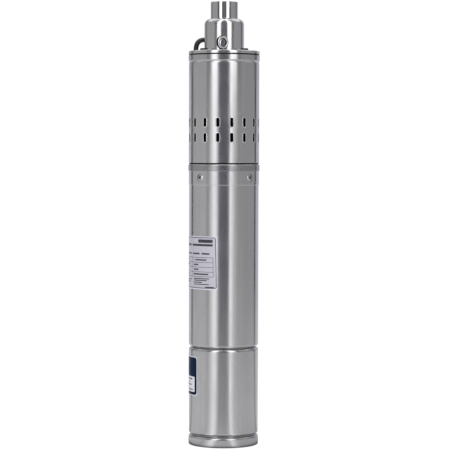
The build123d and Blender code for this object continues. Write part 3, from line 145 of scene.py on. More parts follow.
class Wiring:
    """A node tree that is being wired. Each call adds a node and returns what comes out of it."""

    def __init__(self, tree):
        self.tree = tree

    def add(self, kind, inputs=None, **settings):
        node = self.tree.nodes.new("ShaderNode" + kind)
        for key, value in settings.items():
            setattr(node, key, value)
        for key, value in (inputs or {}).items():
            self.feed(node.inputs[key], value)
        return node

    def feed(self, socket, value):
        if isinstance(value, bpy.types.NodeSocket):
            self.tree.links.new(value, socket)
        else:
            socket.default_value = value

    def calc(self, operation, *values):
        node = self.add("Math", operation=operation)
        for socket, value in zip(node.inputs, values):
            self.feed(socket, value)
        return node.outputs[0]

    def times(self, value, factor, plus=0.0):
        return self.calc("MULTIPLY_ADD", value, factor, plus)

    def apart(self, first, second):
        return self.calc("ABSOLUTE", self.calc("SUBTRACT", first, second))

    def distance(self, across, up):
        return self.calc("SQRT", self.times(across, across, self.times(up, up)))

    def span(self, value, low, high, to_low=0.0, to_high=1.0, smooth=False):
        node = self.add("MapRange", {"Value": value, "From Min": low, "From Max": high,
                                     "To Min": to_low, "To Max": to_high}, clamp=True)
        if smooth:
            node.interpolation_type = "SMOOTHSTEP"
        return node.outputs["Result"]

    def mix(self, amount, first, second):
        node = self.add("Mix", data_type="RGBA")
        for index, value in ((0, amount), (6, first), (7, second)):
            self.feed(node.inputs[index], value)
        return node.outputs[2]

    def place(self, stretch=(1, 1, 1), turn=(0, 0, 0)):
        """The object's own coordinates, stretched and turned."""
        place = self.add("TexCoord").outputs["Object"]
        node = self.add("Mapping", {"Vector": place, "Scale": stretch, "Rotation": turn})
        return node.outputs["Vector"]

    def noise(self, vector, scale, detail=2.0, roughness=0.5, distortion=0.0):
        return self.add("TexNoise", {"Vector": vector, "Scale": scale, "Detail": detail,
                                     "Roughness": roughness, "Distortion": distortion}).outputs["Fac"]

    def use(self, group, **inputs):
        node = self.add("Group", node_tree=group())
        for key, value in inputs.items():
            self.feed(node.inputs[key.replace("_", " ")], value)
        return node.outputs


def effect(inputs, outputs):
    """A shared node group, made once under the name of the function that wires it."""
    def make(wire):
        def fetch():
            tree = bpy.data.node_groups.get(wire.__name__)
            if tree:
                return tree
            tree = bpy.data.node_groups.new(wire.__name__, "ShaderNodeTree")
            for label, value in inputs.items():
                socket = tree.interface.new_socket(label, in_out="INPUT", socket_type="NodeSocketFloat")
                socket.default_value = value
            for label in outputs:
                tree.interface.new_socket(label, in_out="OUTPUT", socket_type="NodeSocketFloat")
            w = Wiring(tree)
            source = w.tree.nodes.new("NodeGroupInput").outputs
            sink = w.tree.nodes.new("NodeGroupOutput").inputs
            for label, value in wire(w, source).items():
                w.feed(sink[label], value)
            return tree
        return fetch
    return make


@effect({}, ("Angle", "Radius", "Height"))
def around_axis(w, source):
    """The angle in degrees from the front, the radius and the height in millimetres."""
    part = w.add("SeparateXYZ", {"Vector": w.place()}).outputs
    angle = w.calc("ARCTAN2", part["X"], w.times(part["Y"], -1.0))
    return {
        "Angle": w.calc("DEGREES", angle),
        "Radius": w.times(w.distance(part["X"], part["Y"]), 1000.0),
        "Height": w.times(part["Z"], 1000.0),
    }


@effect({"Fineness": 1800.0}, ("Lines", "Streaks"))
def vertical_brushing(w, source):
    """Lines along the pump's axis, as a belt leaves them on a tube, and broad streaks."""
    long = w.place(stretch=(1, 1, 0.012))
    fine = w.noise(long, source["Fineness"], 3.0, 0.6)
    broad = w.noise(w.place(stretch=(1, 1, 0.03)), 160.0)
    return {"Lines": w.span(fine, 0.3, 0.7), "Streaks": w.span(broad, 0.3, 0.7)}


@effect({"Fineness": 2200.0}, ("Rings",))
def turned_rings(w, source):
    """Fine rings round the pump's axis, as a lathe leaves them."""
    angle, radius, height = w.use(around_axis)
    line = w.add("CombineXYZ", {"X": w.times(radius, MM), "Y": w.times(angle, 1e-6),
                                "Z": w.times(height, MM)})
    return {"Rings": w.span(w.noise(line.outputs[0], source["Fineness"]), 0.3, 0.7)}


@effect({"Scale": 30.0}, ("Smudge", "Scratch", "Specks"))
def handling_marks(w, source):
    """Cloudy smudges, short thin scratches and specks from handling and storing."""
    cloud = w.noise(w.place(), source["Scale"], 3.0, 0.55, 0.4)
    masks = []
    for turn, seed in (((0.5, 0.3, 0.2), 1.0), ((-0.4, 0.6, 0.9), 1.6)):
        hair = w.noise(w.place(stretch=(1, 1, 0.04), turn=turn), 900.0 * seed, 1.0)
        where = w.noise(w.place(turn=turn), 60.0 * seed, 1.0)
        masks.append(w.times(w.span(hair, 0.69, 0.74), w.span(where, 0.52, 0.6)))
    specks = w.noise(w.place(), 1400.0, 1.0)
    return {
        "Smudge": w.span(cloud, 0.35, 0.7, smooth=True),
        "Scratch": w.calc("MAXIMUM", *masks),
        "Specks": w.span(specks, 0.72, 0.78),
    }


@effect({"Scale": 900.0}, ("Grain", "Coarse"))
def fine_grain(w, source):
    """The grain of a casting, a moulding or rubber."""
    grain = w.noise(w.place(), source["Scale"], 3.0, 0.6)
    coarse = w.noise(w.place(), w.times(source["Scale"], 0.12))
    return {"Grain": grain, "Coarse": coarse}


@effect({"Across": 0.0, "Up": 0.0, "Middle across": 0.0, "Middle up": 0.0,
         "Half width": 10.0, "Half height": 10.0, "Corner": 1.0}, ("Distance",))
def rounded_panel(w, source):
    """How far a point lies outside a rectangle with round corners, in millimetres."""
    parts = []
    for at, size in (("Across", "width"), ("Up", "height")):
        off = w.apart(source[at], source["Middle " + at.lower()])
        parts.append(w.calc("ADD", w.calc("SUBTRACT", off, source["Half " + size]), source["Corner"]))
    out = [w.calc("MAXIMUM", part, 0.0) for part in parts]
    inside = w.calc("MINIMUM", w.calc("MAXIMUM", *parts), 0.0)
    return {"Distance": w.calc("SUBTRACT", w.calc("ADD", w.distance(*out), inside), source["Corner"])}


@effect({"Pitch": 0.5}, ("Seam", "Sheet"))
def stacked_sheets(w, source):
    """The seams between sheets stacked along the axis, and a tone for each sheet."""
    turn = w.calc("DIVIDE", w.use(around_axis)["Height"], source["Pitch"])
    edge = w.apart(w.calc("FRACT", turn), 0.5)
    tone = w.add("TexWhiteNoise", {"W": w.calc("FLOOR", turn)}, noise_dimensions="1D")
    return {"Seam": w.span(edge, 0.36, 0.48), "Sheet": tone.outputs["Value"]}


@effect({"Wire": 0.9}, ("Strand", "Tone"))
def wound_strands(w, source):
    """Bundles of round wire that run round the axis and wander a little."""
    _, radius, height = w.use(around_axis)
    lift = w.times(w.noise(w.place(), 140.0), 9.0, height)
    across = w.times(radius, 0.8, lift)
    turn = w.calc("DIVIDE", across, source["Wire"])
    wave = w.calc("ABSOLUTE", w.calc("SINE", w.times(turn, pi)))
    tone = w.add("TexWhiteNoise", {"W": w.calc("FLOOR", turn)}, noise_dimensions="1D")
    return {"Strand": wave, "Tone": tone.outputs["Value"]}


# Masks


def any_of(w, masks):
    result = masks[0]
    for mask in masks[1:]:
        result = w.calc("MAXIMUM", result, mask)
    return result


def seen(w):
    """1 where the camera looks, also by way of a mirror or through glass, else 0."""
    path = w.add("LightPath").outputs
    return any_of(w, [path["Is " + kind + " Ray"] for kind in ("Camera", "Glossy", "Transmission")])


def panel(w, across, up, left, right, bottom, top, corner):
    """Distance outside a box with round corners, in millimetres."""
    return w.use(rounded_panel, Across=across, Up=up, Middle_across=(left + right) / 2,
                 Middle_up=(bottom + top) / 2, Half_width=(right - left) / 2,
                 Half_height=(top - bottom) / 2, Corner=corner)["Distance"]


def levels(name):
    """The lowest and highest point of a CAD node, in millimetres."""
    heights = [v.co.z * 1000.0 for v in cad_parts[name].data.vertices]
    return min(heights), max(heights)


# Finishes


def shade(colour, factor=1.0):
    return tuple(c * factor for c in colour[:3]) + (1.0,)


def grey(value, lilac=0.0):
    """A grey, or one with a lilac tint."""
    return value, value * (1 - 0.2 * lilac), value * (1 + lilac), 1.0


class Finish(Wiring):
    """A material and the wiring of its Principled shader."""

    def __init__(self, name, colour, roughness, metallic=0.0):
        material = self.material = bpy.data.materials.new(name)
        material.use_nodes = True
        material.diffuse_color = shade(colour)
        super().__init__(material.node_tree)
        self.sockets = self.tree.nodes["Principled BSDF"].inputs
        self.set("Base Color", shade(colour))
        self.set("Roughness", roughness)
        self.set("Metallic", metallic)

    def set(self, label, value):
        self.feed(self.sockets[label], value)

    def fed(self, label):
        """What is wired into one of the shader's sockets."""
        return self.sockets[label].links[0].from_socket

    def tint(self, mask, tone):
        """Gives the finish another tone where a mask is 1."""
        self.set("Base Color", self.mix(mask, self.fed("Base Color"), tone))

    def relief(self, height, depth, strength=0.5):
        bump = self.add("Bump", {"Height": height, "Distance": depth, "Strength": strength})
        self.set("Normal", bump.outputs["Normal"])


def steel_grain(w):
    brushing = w.use(vertical_brushing)
    return w.times(brushing["Streaks"], 0.4, w.times(brushing["Lines"], 0.6))


def metal(name, colour, roughness, grain_of, depth, change):
    """A metal whose colour, roughness and relief follow its grain and its handling marks."""
    w = Finish(name, colour, roughness, 1.0)
    grain = grain_of(w)
    marks = w.use(handling_marks)
    tone = w.mix(grain, shade(colour, 1 - change), shade(colour, 1 + change))
    tone = w.mix(w.times(marks["Scratch"], 0.35), tone, shade(colour, 1.25))
    w.set("Base Color", w.mix(w.times(marks["Smudge"], 0.06), tone, shade(colour, 0.6)))
    low = w.times(grain, 0.35 * roughness, 0.85 * roughness)
    rough = w.times(marks["Smudge"], 0.3 * roughness, low)
    w.set("Roughness", w.times(marks["Scratch"], 0.08, rough))
    w.relief(w.times(marks["Scratch"], -0.6, grain), depth)
    return w


def brushed_steel(name, colour, roughness):
    return metal(name, colour, roughness, steel_grain, 0.000004, 0.08)


def turned_metal(name, colour, roughness, fineness=2200.0, depth=0.000006, change=0.05):
    def rings(w):
        return w.use(turned_rings, Fineness=fineness)["Rings"]
    return metal(name, colour, roughness, rings, depth, change)


def polished_metal(name, colour, roughness):
    return metal(name, colour, roughness, lambda w: w.noise(w.place(), 55.0, 1.0), 0.00003, 0.02)


def cast_metal(name, colour, roughness, grain_size):
    def grain(w):
        return w.use(fine_grain, Scale=grain_size)["Grain"]
    return metal(name, colour, roughness, grain, 0.00005, 0.12)


def eye_steel_with_painted_shade(name, colour, roughness):
    """Ring steel with painted shade: near black along both sides of its bar, towards the ring's inside
    and outside, and bright along its middle.
    """
    w = polished_metal(name, colour, roughness)
    front = [v.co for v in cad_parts["rope_eyes"].data.vertices if v.co.y < 0]
    middle = max(p.z for p in front) - EYE_RING - EYE_BAR / 2
    along = Vector((cos(EYE_TURN), sin(EYE_TURN), 0.0))
    reach = [p.dot(along) for p in front if p.z > middle]
    part = w.add("SeparateXYZ", {"Vector": w.place()}).outputs
    side = w.calc("SIGN", w.times(part["Y"], -1.0))
    aside = w.times(part["X"], along.x, w.times(part["Y"], along.y))
    aside = w.times(aside, side, -(min(reach) + max(reach)) / 2)
    up = w.calc("SUBTRACT", part["Z"], middle)
    off = w.apart(w.distance(aside, up), EYE_RING)
    # Painted shade along both sides of the bar
    w.tint(w.span(off, 0.22 * EYE_BAR, 0.36 * EYE_BAR), grey(0.02))
    return w


def moulded(name, colour, roughness, grain_size=2600.0, depth=0.00002, bloom=0.12):
    """Rubber or plastic: a fine skin, a little bloom and smudges that change its gloss."""
    w = Finish(name, colour, roughness)
    grain = w.use(fine_grain, Scale=grain_size)
    marks = w.use(handling_marks, Scale=70.0)
    pale = tuple(min(1.0, c + bloom * (0.4 + c)) for c in colour)
    tone = w.mix(w.times(marks["Smudge"], 0.35), shade(colour), shade(pale))
    tone = w.mix(w.times(marks["Specks"], 0.2), tone, shade(pale, 1.2))
    w.set("Base Color", tone)
    rough = w.times(grain["Grain"], 0.2, roughness - 0.1)
    w.set("Roughness", w.times(marks["Smudge"], 0.1, rough))
    w.relief(grain["Grain"], depth)
    return w


def slotted_steel(name, colour, roughness):
    """The sleeve's steel, with a raised rim round each of its slots that carries a painted highlight,
    and painted shade on the slots' walls.
    """
    w = brushed_steel(name, colour, roughness)
    angle, _, height = w.use(around_axis)
    turn = w.calc("ADD", angle, SLOT_PITCH / 2 - SLOT_TURN + 360.0)
    turn = w.calc("SUBTRACT", w.calc("MODULO", turn, SLOT_PITCH), SLOT_PITCH / 2)
    up = w.apart(height, sum(SLOT_ROWS) / 2)
    wide, tall = SLOT_SIZE
    middle = (SLOT_ROWS[1] - SLOT_ROWS[0]) / 2
    off = panel(w, w.times(turn, radians(SLOT_RADIUS)), up,
                -wide / 2, wide / 2, middle - tall / 2, middle + tall / 2, wide / 2)
    rim = w.span(off, *SLOT_RIM_HIGHLIGHT, smooth=True)
    # Painted highlight on the raised rim round each slot, and painted shade on the slot's walls
    w.tint(rim, grey(PAINTED_HIGHLIGHT))
    w.tint(w.span(off, *SLOT_WALL_SHADE), grey(0.008))
    w.set("Roughness", w.times(rim, 0.3, w.fed("Roughness")))
    w.relief(w.times(steel_grain(w), 0.02, rim), 0.0002)
    return w


def banded(w, tone, *bounds):
    """Gives a finish another tone between heights or radii: here painted shade in seams and painted
    highlights on edges.
    """
    place = w.use(around_axis)
    band = 1.0
    for reach, low, high in bounds:
        band = w.times(band, w.span(place[reach], low, high))
    w.tint(band, tone)
    return w


def strip(level, reach):
    """The bounds of a strip above a level, or below it where its reach is negative."""
    return "Height", level + reach, level + reach - copysign(STRIP_FADE, reach)


def joint_shade_and_highlight(w, low, high):
    """Painted shade on a rim between two rolled ends: near black, with a painted highlight in pale grey
    along its middle.
    """
    banded(w, grey(SEAM_SHADE), JOINT_RIM, ("Height", low - JOINT_FADE, low))
    below, above = (low + high) / 2 - HIGHLIGHT_HALF_WIDTH, (low + high) / 2 + HIGHLIGHT_HALF_WIDTH
    return banded(w, grey(0.9), JOINT_RIM, ("Height", below, below + JOINT_FADE),
                  ("Height", above, above - JOINT_FADE))


def stacked_steel(name, colour):
    w = Finish(name, colour, 0.5, 1.0)
    stack = w.use(stacked_sheets)
    tone = w.mix(stack["Sheet"], shade(colour, 0.85), shade(colour, 1.15))
    w.set("Base Color", w.mix(stack["Seam"], tone, shade(colour, 0.25)))
    w.set("Roughness", w.times(stack["Sheet"], 0.2, 0.38))
    w.relief(stack["Seam"], -0.00008)
    return w


def wound_copper(name, colour):
    w = Finish(name, colour, 0.3, 0.6)
    wire = w.use(wound_strands)
    tone = w.mix(wire["Tone"], shade(colour, 0.8), shade(colour, 1.2))
    # Painted shade between the wires: the copper is darkened where neighbouring strands meet
    w.set("Base Color", w.mix(wire["Strand"], shade(colour, 0.15), tone))
    w.set("Roughness", w.times(wire["Tone"], 0.15, 0.25))
    w.set("Coat Weight", 0.6)
    w.set("Coat Roughness", 0.12)
    w.relief(wire["Strand"], 0.0004, 0.8)
    return w


def glazed(name, colour, roughness):
    w = Finish(name, colour, roughness)
    cloud = w.noise(w.place(), 120.0, 3.0)
    w.set("Base Color", w.mix(cloud, shade(colour, 0.94), shade(colour, 1.04)))
    rings = w.use(turned_rings)["Rings"]
    w.set("Roughness", w.times(rings, 0.08, roughness - 0.04))
    w.relief(rings, 0.000004)
    return w


def dress(finish, *names):
    """Puts a finish on CAD nodes."""
    for name in names:
        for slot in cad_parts[name].material_slots:
            slot.material = finish.material


def new_mesh(add, name, **settings):
    """Adds a mesh with one of Blender's tools, picked alone and under its name."""
    if bpy.context.object and bpy.context.object.mode != "OBJECT":
        bpy.ops.object.mode_set(mode="OBJECT")
    bpy.ops.object.select_all(action="DESELECT")
    add(**settings)
    piece = bpy.context.object
    piece.name = name
    return piece


def modify(piece, kind, **settings):
    """Changes a piece with a modifier, applied."""
    change = piece.modifiers.new(kind, kind)
    for key, value in settings.items():
        setattr(change, key, value)
    bpy.context.view_layer.objects.active = piece
    bpy.ops.object.modifier_apply(modifier=change.name)


def close_mesh():
    """Fills the rims picked in edit mode, turns the faces outwards and leaves edit mode."""
    bpy.ops.mesh.edge_face_add()
    bpy.ops.mesh.select_all(action="SELECT")
    bpy.ops.mesh.normals_make_consistent(inside=False)
    bpy.ops.object.mode_set(mode="OBJECT")


# Settings


def swatch(name, description, default):
    return bpy.props.FloatVectorProperty(name=name, description=description, default=default,
                                         subtype="COLOR", size=3, min=0.0, max=1.0)


def number(name, description, default, **kind):
    return bpy.props.FloatProperty(name=name, description=description, default=default, **kind)


def length(name, description, default):
    return number(name, description, default, unit="LENGTH")


def share(name, description, default):
    return number(name, description, default, min=0.02, max=1.0, subtype="FACTOR")


def count(name, description, default, least, most):
    return bpy.props.IntProperty(name=name, description=description, default=default, min=least,
                                 max=most)


class PumpSteelSettings(bpy.types.PropertyGroup):
    tube_colour: swatch("Tube colour", "Brushed tubes and sleeve", (0.62, 0.62, 0.635))
    head_colour: swatch("Head colour", "Polished head and outlet thread", (0.70, 0.70, 0.71))
    cap_colour: swatch("Cap colour", "Turned cap and seal cover", (0.60, 0.60, 0.615))
    tube_roughness: share("Tube roughness", "Roughness of the brushed tubes", 0.16)
    head_roughness: share("Head roughness", "Roughness of the polished head", 0.07)


class PumpThreadSettings(bpy.types.PropertyGroup):
    pitch: length("Thread pitch", "Pitch of the outlet's pipe thread", 0.001814)
    crest: length("Crest", "How far the thread stands into the bore", 0.0007)
    steps: count("Steps", "Sides of one turn of thread", 64, 16, 128)


class PumpLabelSettings(bpy.types.PropertyGroup):
    film_colour: swatch("Film colour", "Pale film of the rating label", (0.42, 0.415, 0.475))
    navy_colour: swatch("Navy colour", "Ground of the lower label", (0.002, 0.011, 0.036))
    ink_colour: swatch("Ink colour", "Rules, frames and bars", (0.012, 0.012, 0.02))
    line: length("Line width", "Width of the printed rules", 0.0008)


class PumpCableSettings(bpy.types.PropertyGroup):
    diameter: length("Diameter", "Diameter of the sheath", 0.0064)
    core_diameter: length("Core diameter", "Diameter of one insulated core", 0.0018)
    core_length: length("Core length", "Length of the bared cores", 0.034)
    core_spread: length("Core spread", "Distance between the core tips", 0.007)
    turn_points: count("Points a turn", "Points in each turn of the coil", 16, 12, 32)
    sheath_colour: swatch("Sheath colour", "Black sheath", (0.003, 0.003, 0.0035))


class PumpStageSettings(bpy.types.PropertyGroup):
    distance: length("Distance", "Camera to the pump's axis", 2.5155)
    height: length("Height", "Camera above the floor", 0.3776)
    side: length("Side", "Camera to the right of the pump's axis", 0.0016)
    tilt: number("Tilt", "How far the camera looks down", radians(2.1), subtype="ANGLE")
    roll: number("Roll", "How far the camera leans", radians(0.15), subtype="ANGLE")
    lens: number("Lens", "Focal length on a 36 mm sensor", 154.94, unit="CAMERA")
    daylight: number("Daylight", "Even light from all round", 0.62, min=0.0)
    lamp: number("Lamps", "Strength of the soft boxes", 1.0, min=0.0)


# Operators


class PUMP_OT_finish_tubes(bpy.types.Operator):
    """Brushed tubes and sleeve, turned cap and housing, gaskets and screws"""
    bl_idname = "pump.finish_tubes"
    bl_label = "Finish tubes and cap"

    def execute(self, context):
        steel = context.scene.pump_steel
        tube = steel.tube_colour, steel.tube_roughness
        dress(brushed_steel("Brushed tube", *tube), "lower_casing", "motor_casing")
        # Painted shade in a black band along the sleeve's foot
        foot = strip(levels("strainer_sleeve")[0], SLEEVE_FOOT_SHADE)
        dress(banded(slotted_steel("Slotted tube", *tube), grey(SEAM_SHADE), foot), "strainer_sleeve")
        cap = turned_metal("Turned cap", steel.cap_colour, 0.19)
        # Painted shade and a painted highlight in the joint above the cap
        dress(joint_shade_and_highlight(cap, CAP_RIM, levels("lower_casing")[0]), "bottom_cap")
        dress(turned_metal("Turned stainless", steel.cap_colour, 0.26), "seal_cover")
        ring = turned_metal("Turned ring", (0.42, 0.41, 0.435), 0.22)
        # Painted highlight along the top edge of the ring
        edge = strip(levels("sleeve_gasket")[0], RING_TOP_HIGHLIGHT)
        dress(banded(ring, grey(PAINTED_HIGHLIGHT), edge), "upper_bearing_housing")
        dress(moulded("Black nylon", (0.01, 0.01, 0.011), 0.5, 900.0, 0.00003, 0.02), "suction_cage")
        dress(turned_metal("Fastener steel", (0.6, 0.6, 0.62), 0.18), "casing_screws", "cover_screws")
        gasket = moulded("Gasket rubber", (0.004, 0.004, 0.004), 0.8, bloom=0.005)
        gasket.set("Specular IOR Level", 0.12)
        dress(gasket, "sleeve_gasket", "casing_orings", "head_gasket")
        dress(turned_metal("Turned brass", (0.68, 0.50, 0.22), 0.3), "filler_plug")
        return {"FINISHED"}


class PUMP_OT_finish_head(bpy.types.Operator):
    """Polished outlet head, rope eyes, bolts, gasket and grommet"""
    bl_idname = "pump.finish_head"
    bl_label = "Finish head"

    def execute(self, context):
        steel = context.scene.pump_steel
        head = polished_metal("Polished head", steel.head_colour, steel.head_roughness)
        softer = head.span(head.use(around_axis)["Height"], *SOFT_POLISH)
        head.set("Roughness", head.times(softer, 0.07, head.fed("Roughness")))
        # Painted shade in a black band along the head's foot, above its gasket
        seam = strip(levels("head_gasket")[1], HEAD_FOOT_SHADE)
        dress(banded(head, grey(SEAM_SHADE), seam), "outlet_head")
        dress(eye_steel_with_painted_shade("Eye steel with painted shade", (0.92, 0.92, 0.94), 0.05), "rope_eyes")
        bolts = moulded("Blackened bolts", (0.006, 0.006, 0.007), 0.6, bloom=0.005)
        bolts.set("Specular IOR Level", 0.15)
        dress(bolts, "tie_bolts")
        rubber = moulded("Head rubber", (0.006, 0.006, 0.006), 0.6, bloom=0.01)
        dress(rubber, "head_oring", "cable_grommet", "cable_bung")
        return {"FINISHED"}


def screw_head():
    """A raised countersunk head with a cross recess and its shank, upright at the origin."""
    head = new_mesh(bpy.ops.mesh.primitive_uv_sphere_add, "screw_head", segments=40, ring_count=40,
                    radius=SCREW_BALL)
    bpy.ops.object.mode_set(mode="EDIT")
    bpy.ops.mesh.select_all(action="SELECT")
    bpy.ops.mesh.bisect(plane_co=(0, 0, SCREW_CUT), plane_no=(0, 0, 1), clear_inner=True)
    bpy.ops.mesh.select_all(action="SELECT")
    bpy.ops.transform.translate(value=(0, 0, -SCREW_SINK))
    bpy.ops.mesh.select_all(action="DESELECT")
    bpy.ops.mesh.select_non_manifold()
    for down, size in SCREW_STEPS:
        bpy.ops.mesh.extrude_region_move(TRANSFORM_OT_translate={"value": (0, 0, -down)})
        bpy.ops.transform.resize(value=(size, size, 1.0), center_override=(0, 0, 0))
    close_mesh()
    for size in ((RECESS_LONG, RECESS_WIDE), (RECESS_WIDE, RECESS_LONG)):
        cutter = new_mesh(bpy.ops.mesh.primitive_cube_add, "recess_cutter", size=1.0)
        cutter.data.transform(Matrix.Diagonal((*size, RECESS_DEEP, 1.0)))
        modify(head, "BOOLEAN", object=cutter, operation="DIFFERENCE", solver="EXACT")
        bpy.data.objects.remove(cutter)
    modify(head, "BEVEL", width=SCREW_EDGE, segments=2, limit_method="ANGLE", angle_limit=radians(35))
    head.select_set(True)
    bpy.ops.object.shade_smooth_by_angle(angle=radians(30))
    return head


class PUMP_OT_fit_screws(bpy.types.Operator):
    """Four cross-head screws round the casing's band"""
    bl_idname = "pump.fit_screws"
    bl_label = "Fit casing screws"

    def execute(self, context):
        head = screw_head()
        # Painted shade on the floor of each cross recess
        steel = banded(turned_metal("Bright screw", (0.72, 0.72, 0.73), 0.08), grey(0.012), RECESS_SHADE)
        for number, angle in enumerate(SCREW_ANGLES, 1):
            piece = head.copy()
            piece.data = head.data.copy()
            context.scene.collection.objects.link(piece)
            piece.name = "casing_screw_" + str(number)
            turn = Matrix.Rotation(radians(angle), 4, "Z") @ Matrix.Rotation(pi / 2, 4, "X")
            out = turn @ Matrix.Translation((0, 0, SCREW_RADIUS)) @ Matrix.Rotation(SCREW_TURN, 4, "Z")
            piece.data.transform(Matrix.Translation((0, 0, SCREW_LEVEL)) @ out)
            piece.data.materials.append(steel.material)
            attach(piece, ROOT)
            if number == 1:
                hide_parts("casing_screws")
        bpy.data.objects.remove(head)
        return {"FINISHED"}


class PUMP_OT_cut_thread(bpy.types.Operator):
    """The pipe thread inside the outlet"""
    bl_idname = "pump.cut_thread"
    bl_label = "Cut outlet thread"

    def execute(self, context):
        thread = context.scene.pump_thread
        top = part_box("outlet_head")[1].z - THREAD_START
        turns = int(THREAD_DEPTH / thread.pitch)
        piece = new_mesh(bpy.ops.mesh.primitive_circle_add, "outlet_thread", vertices=3)
        corners = ((THREAD_BORE, -0.45), (THREAD_BORE - thread.crest, 0.0), (THREAD_BORE, 0.45))
        for vertex, (across, up) in zip(piece.data.vertices, corners):
            vertex.co = (across, 0.0, top - turns * thread.pitch + up * thread.pitch)
        sides = thread.steps * turns
        modify(piece, "SCREW", axis="Z", angle=2 * pi * turns, screw_offset=thread.pitch * turns,
               steps=sides, render_steps=sides)
        bpy.ops.object.mode_set(mode="EDIT")
        bpy.ops.mesh.select_all(action="SELECT")
        bpy.ops.mesh.remove_doubles(threshold=1e-7)
        bpy.ops.mesh.select_non_manifold()
        close_mesh()
        bpy.ops.object.shade_smooth_by_angle(angle=radians(25))
        steel = turned_metal("Thread steel", context.scene.pump_steel.head_colour, 0.25)
        piece.data.materials.append(steel.material)
        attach(piece, ROOT)
        return {"FINISHED"}


def print_coordinates(w, slant=0.0, middle=0.0):
    """Where a point of a label lies, in millimetres along the sheet and up it. A print that was laid on
    askew slants round its middle height."""
    angle, _, height = w.use(around_axis)
    along = w.times(angle, radians(LABEL_RADIUS))
    return w.times(w.calc("SUBTRACT", height, middle), slant, along), height


def ruled(w, place, level, width):
    """1 on a line of that width that runs along a level, else 0."""
    return w.span(w.apart(place, level), width * 0.5 + 0.08, width * 0.5)


def printed_bars(w, across, up, bars):
    """Plain bars where a label has its small print."""
    masks = []
    for left, right, middle, tall in bars:
        off = panel(w, across, up, left, right, middle - tall / 2, middle + tall / 2, 0.1)
        masks.append(w.span(off, 0.05, -0.05))
    return any_of(w, masks)


class PUMP_OT_print_labels(bpy.types.Operator):
    """Blank ruled rating label and plain navy label, printed on glossy film"""
    bl_idname = "pump.print_labels"
    bl_label = "Print labels"

    def execute(self, context):
        self.print_rating(context.scene.pump_label)
        self.print_navy(context.scene.pump_label)
        return {"FINISHED"}

    def print_rating(self, label):
        line = label.line / MM
        w = Finish("Rating label", label.film_colour, 0.3)
        across, up = print_coordinates(w, RATING_SLANT, RATING_MIDDLE)
        outline = panel(w, across, up, *RATING_SHEET)
        table = panel(w, across, up, *RATING_TABLE)
        rules = [ruled(w, up, row, line * 0.6) for row in RATING_ROWS]
        rules.append(ruled(w, across, RATING_COLUMN, line * 0.6))
        grid = w.times(any_of(w, rules), w.span(table, 0.05, -0.05))
        faint = w.calc("MAXIMUM", ruled(w, table, 0.0, line * 0.7), grid)
        bars = printed_bars(w, across, up, RATING_BARS)
        ink = any_of(w, [ruled(w, outline, 0.0, line), w.times(faint, 0.9), w.times(bars, 0.95)])
        marks = w.use(handling_marks, Scale=50.0)
        margin = w.span(outline, -0.1, 0.1)
        film = w.mix(margin, shade(label.film_colour), shade(label.film_colour, 1.25))
        film = w.mix(w.times(marks["Smudge"], 0.15), film, shade(label.film_colour, 0.75))
        w.set("Base Color", w.mix(ink, film, shade(label.ink_colour)))
        w.set("Roughness", w.times(marks["Smudge"], 0.12, 0.26))
        grain = w.use(fine_grain, Scale=700.0)
        w.relief(w.times(ink, 0.5, grain["Coarse"]), 0.00001)
        dress(w, "rating_label")

    def print_navy(self, label):
        w = Finish("Navy label", label.navy_colour, 0.25)
        across, up = print_coordinates(w)
        sheet = panel(w, across, up, *NAVY_SHEET)
        paper = panel(w, across, up, *NAVY_PAPER)
        marks = w.use(handling_marks, Scale=50.0)
        rim = w.span(paper, 1.2, 1.0, 0.0, 0.35)
        ground = w.mix(rim, shade(label.navy_colour), shade(label.navy_colour, 0.3))
        ground = w.mix(w.span(sheet, -0.1, 0.1), ground, grey(0.52, 0.08))
        text = printed_bars(w, across, up, NAVY_BARS)
        printed = w.mix(w.times(text, 0.85), grey(0.60, 0.06), shade(label.navy_colour))
        w.set("Base Color", w.mix(w.span(paper, 0.1, -0.1), ground, printed))
        w.set("Specular IOR Level", 0.04)
        w.set("Roughness", w.times(marks["Smudge"], 0.12, 0.2))
        w.relief(w.use(fine_grain, Scale=700.0)["Coarse"], 0.00001)
        dress(w, "colour_label")


def eased(turn, start, end):
    """A smooth step from 0 to 1 between two places on the coil."""
    part = min(1.0, max(0.0, (turn - start) / (end - start)))
    return part * part * (3 - 2 * part)


def coil_points(turn_points):
    """The coil's line: inwards on the floor, then outwards on top of that, and out to the right."""
    x, y = COIL_CENTRE
    outer, middle, inner = COIL_RADII
    low, high = COIL_LEVELS
    swell = 2 / (1 + cos(pi / turn_points))
    steps = ((0.80, 0.96, middle - outer), (1.80, 1.96, inner - middle), (3.40, 3.60, middle - inner),
             (4.40, 4.60, outer - middle))
    points = []
    for index in range(1, int(COIL_TURNS * turn_points)):
        turn = index / turn_points
        radius = swell * (outer + sum(change * eased(turn, start, end) for start, end, change in steps))
        angle = 2 * pi * turn - pi / 2
        points.append((x + radius * cos(angle), y + radius * sin(angle),
                       low + (high - low) * eased(turn, *COIL_CLIMB)))
    return points


def laid_curve(name, lines, radius, sides=6):
    """A tube along one or more smooth lines."""
    data = bpy.data.curves.new(name, "CURVE")
    data.dimensions = "3D"
    for points in lines:
        spline = data.splines.new("NURBS")
        spline.points.add(len(points) - 1)
        for point, place in zip(spline.points, points):
            point.co = (*place, 1.0)
        spline.order_u = 3
        spline.use_endpoint_u = True
        spline.resolution_u = 6
    data.bevel_depth = radius
    data.bevel_resolution = sides
    data.use_fill_caps = True
    piece = bpy.data.objects.new(name, data)
    bpy.context.scene.collection.objects.link(piece)
    return piece


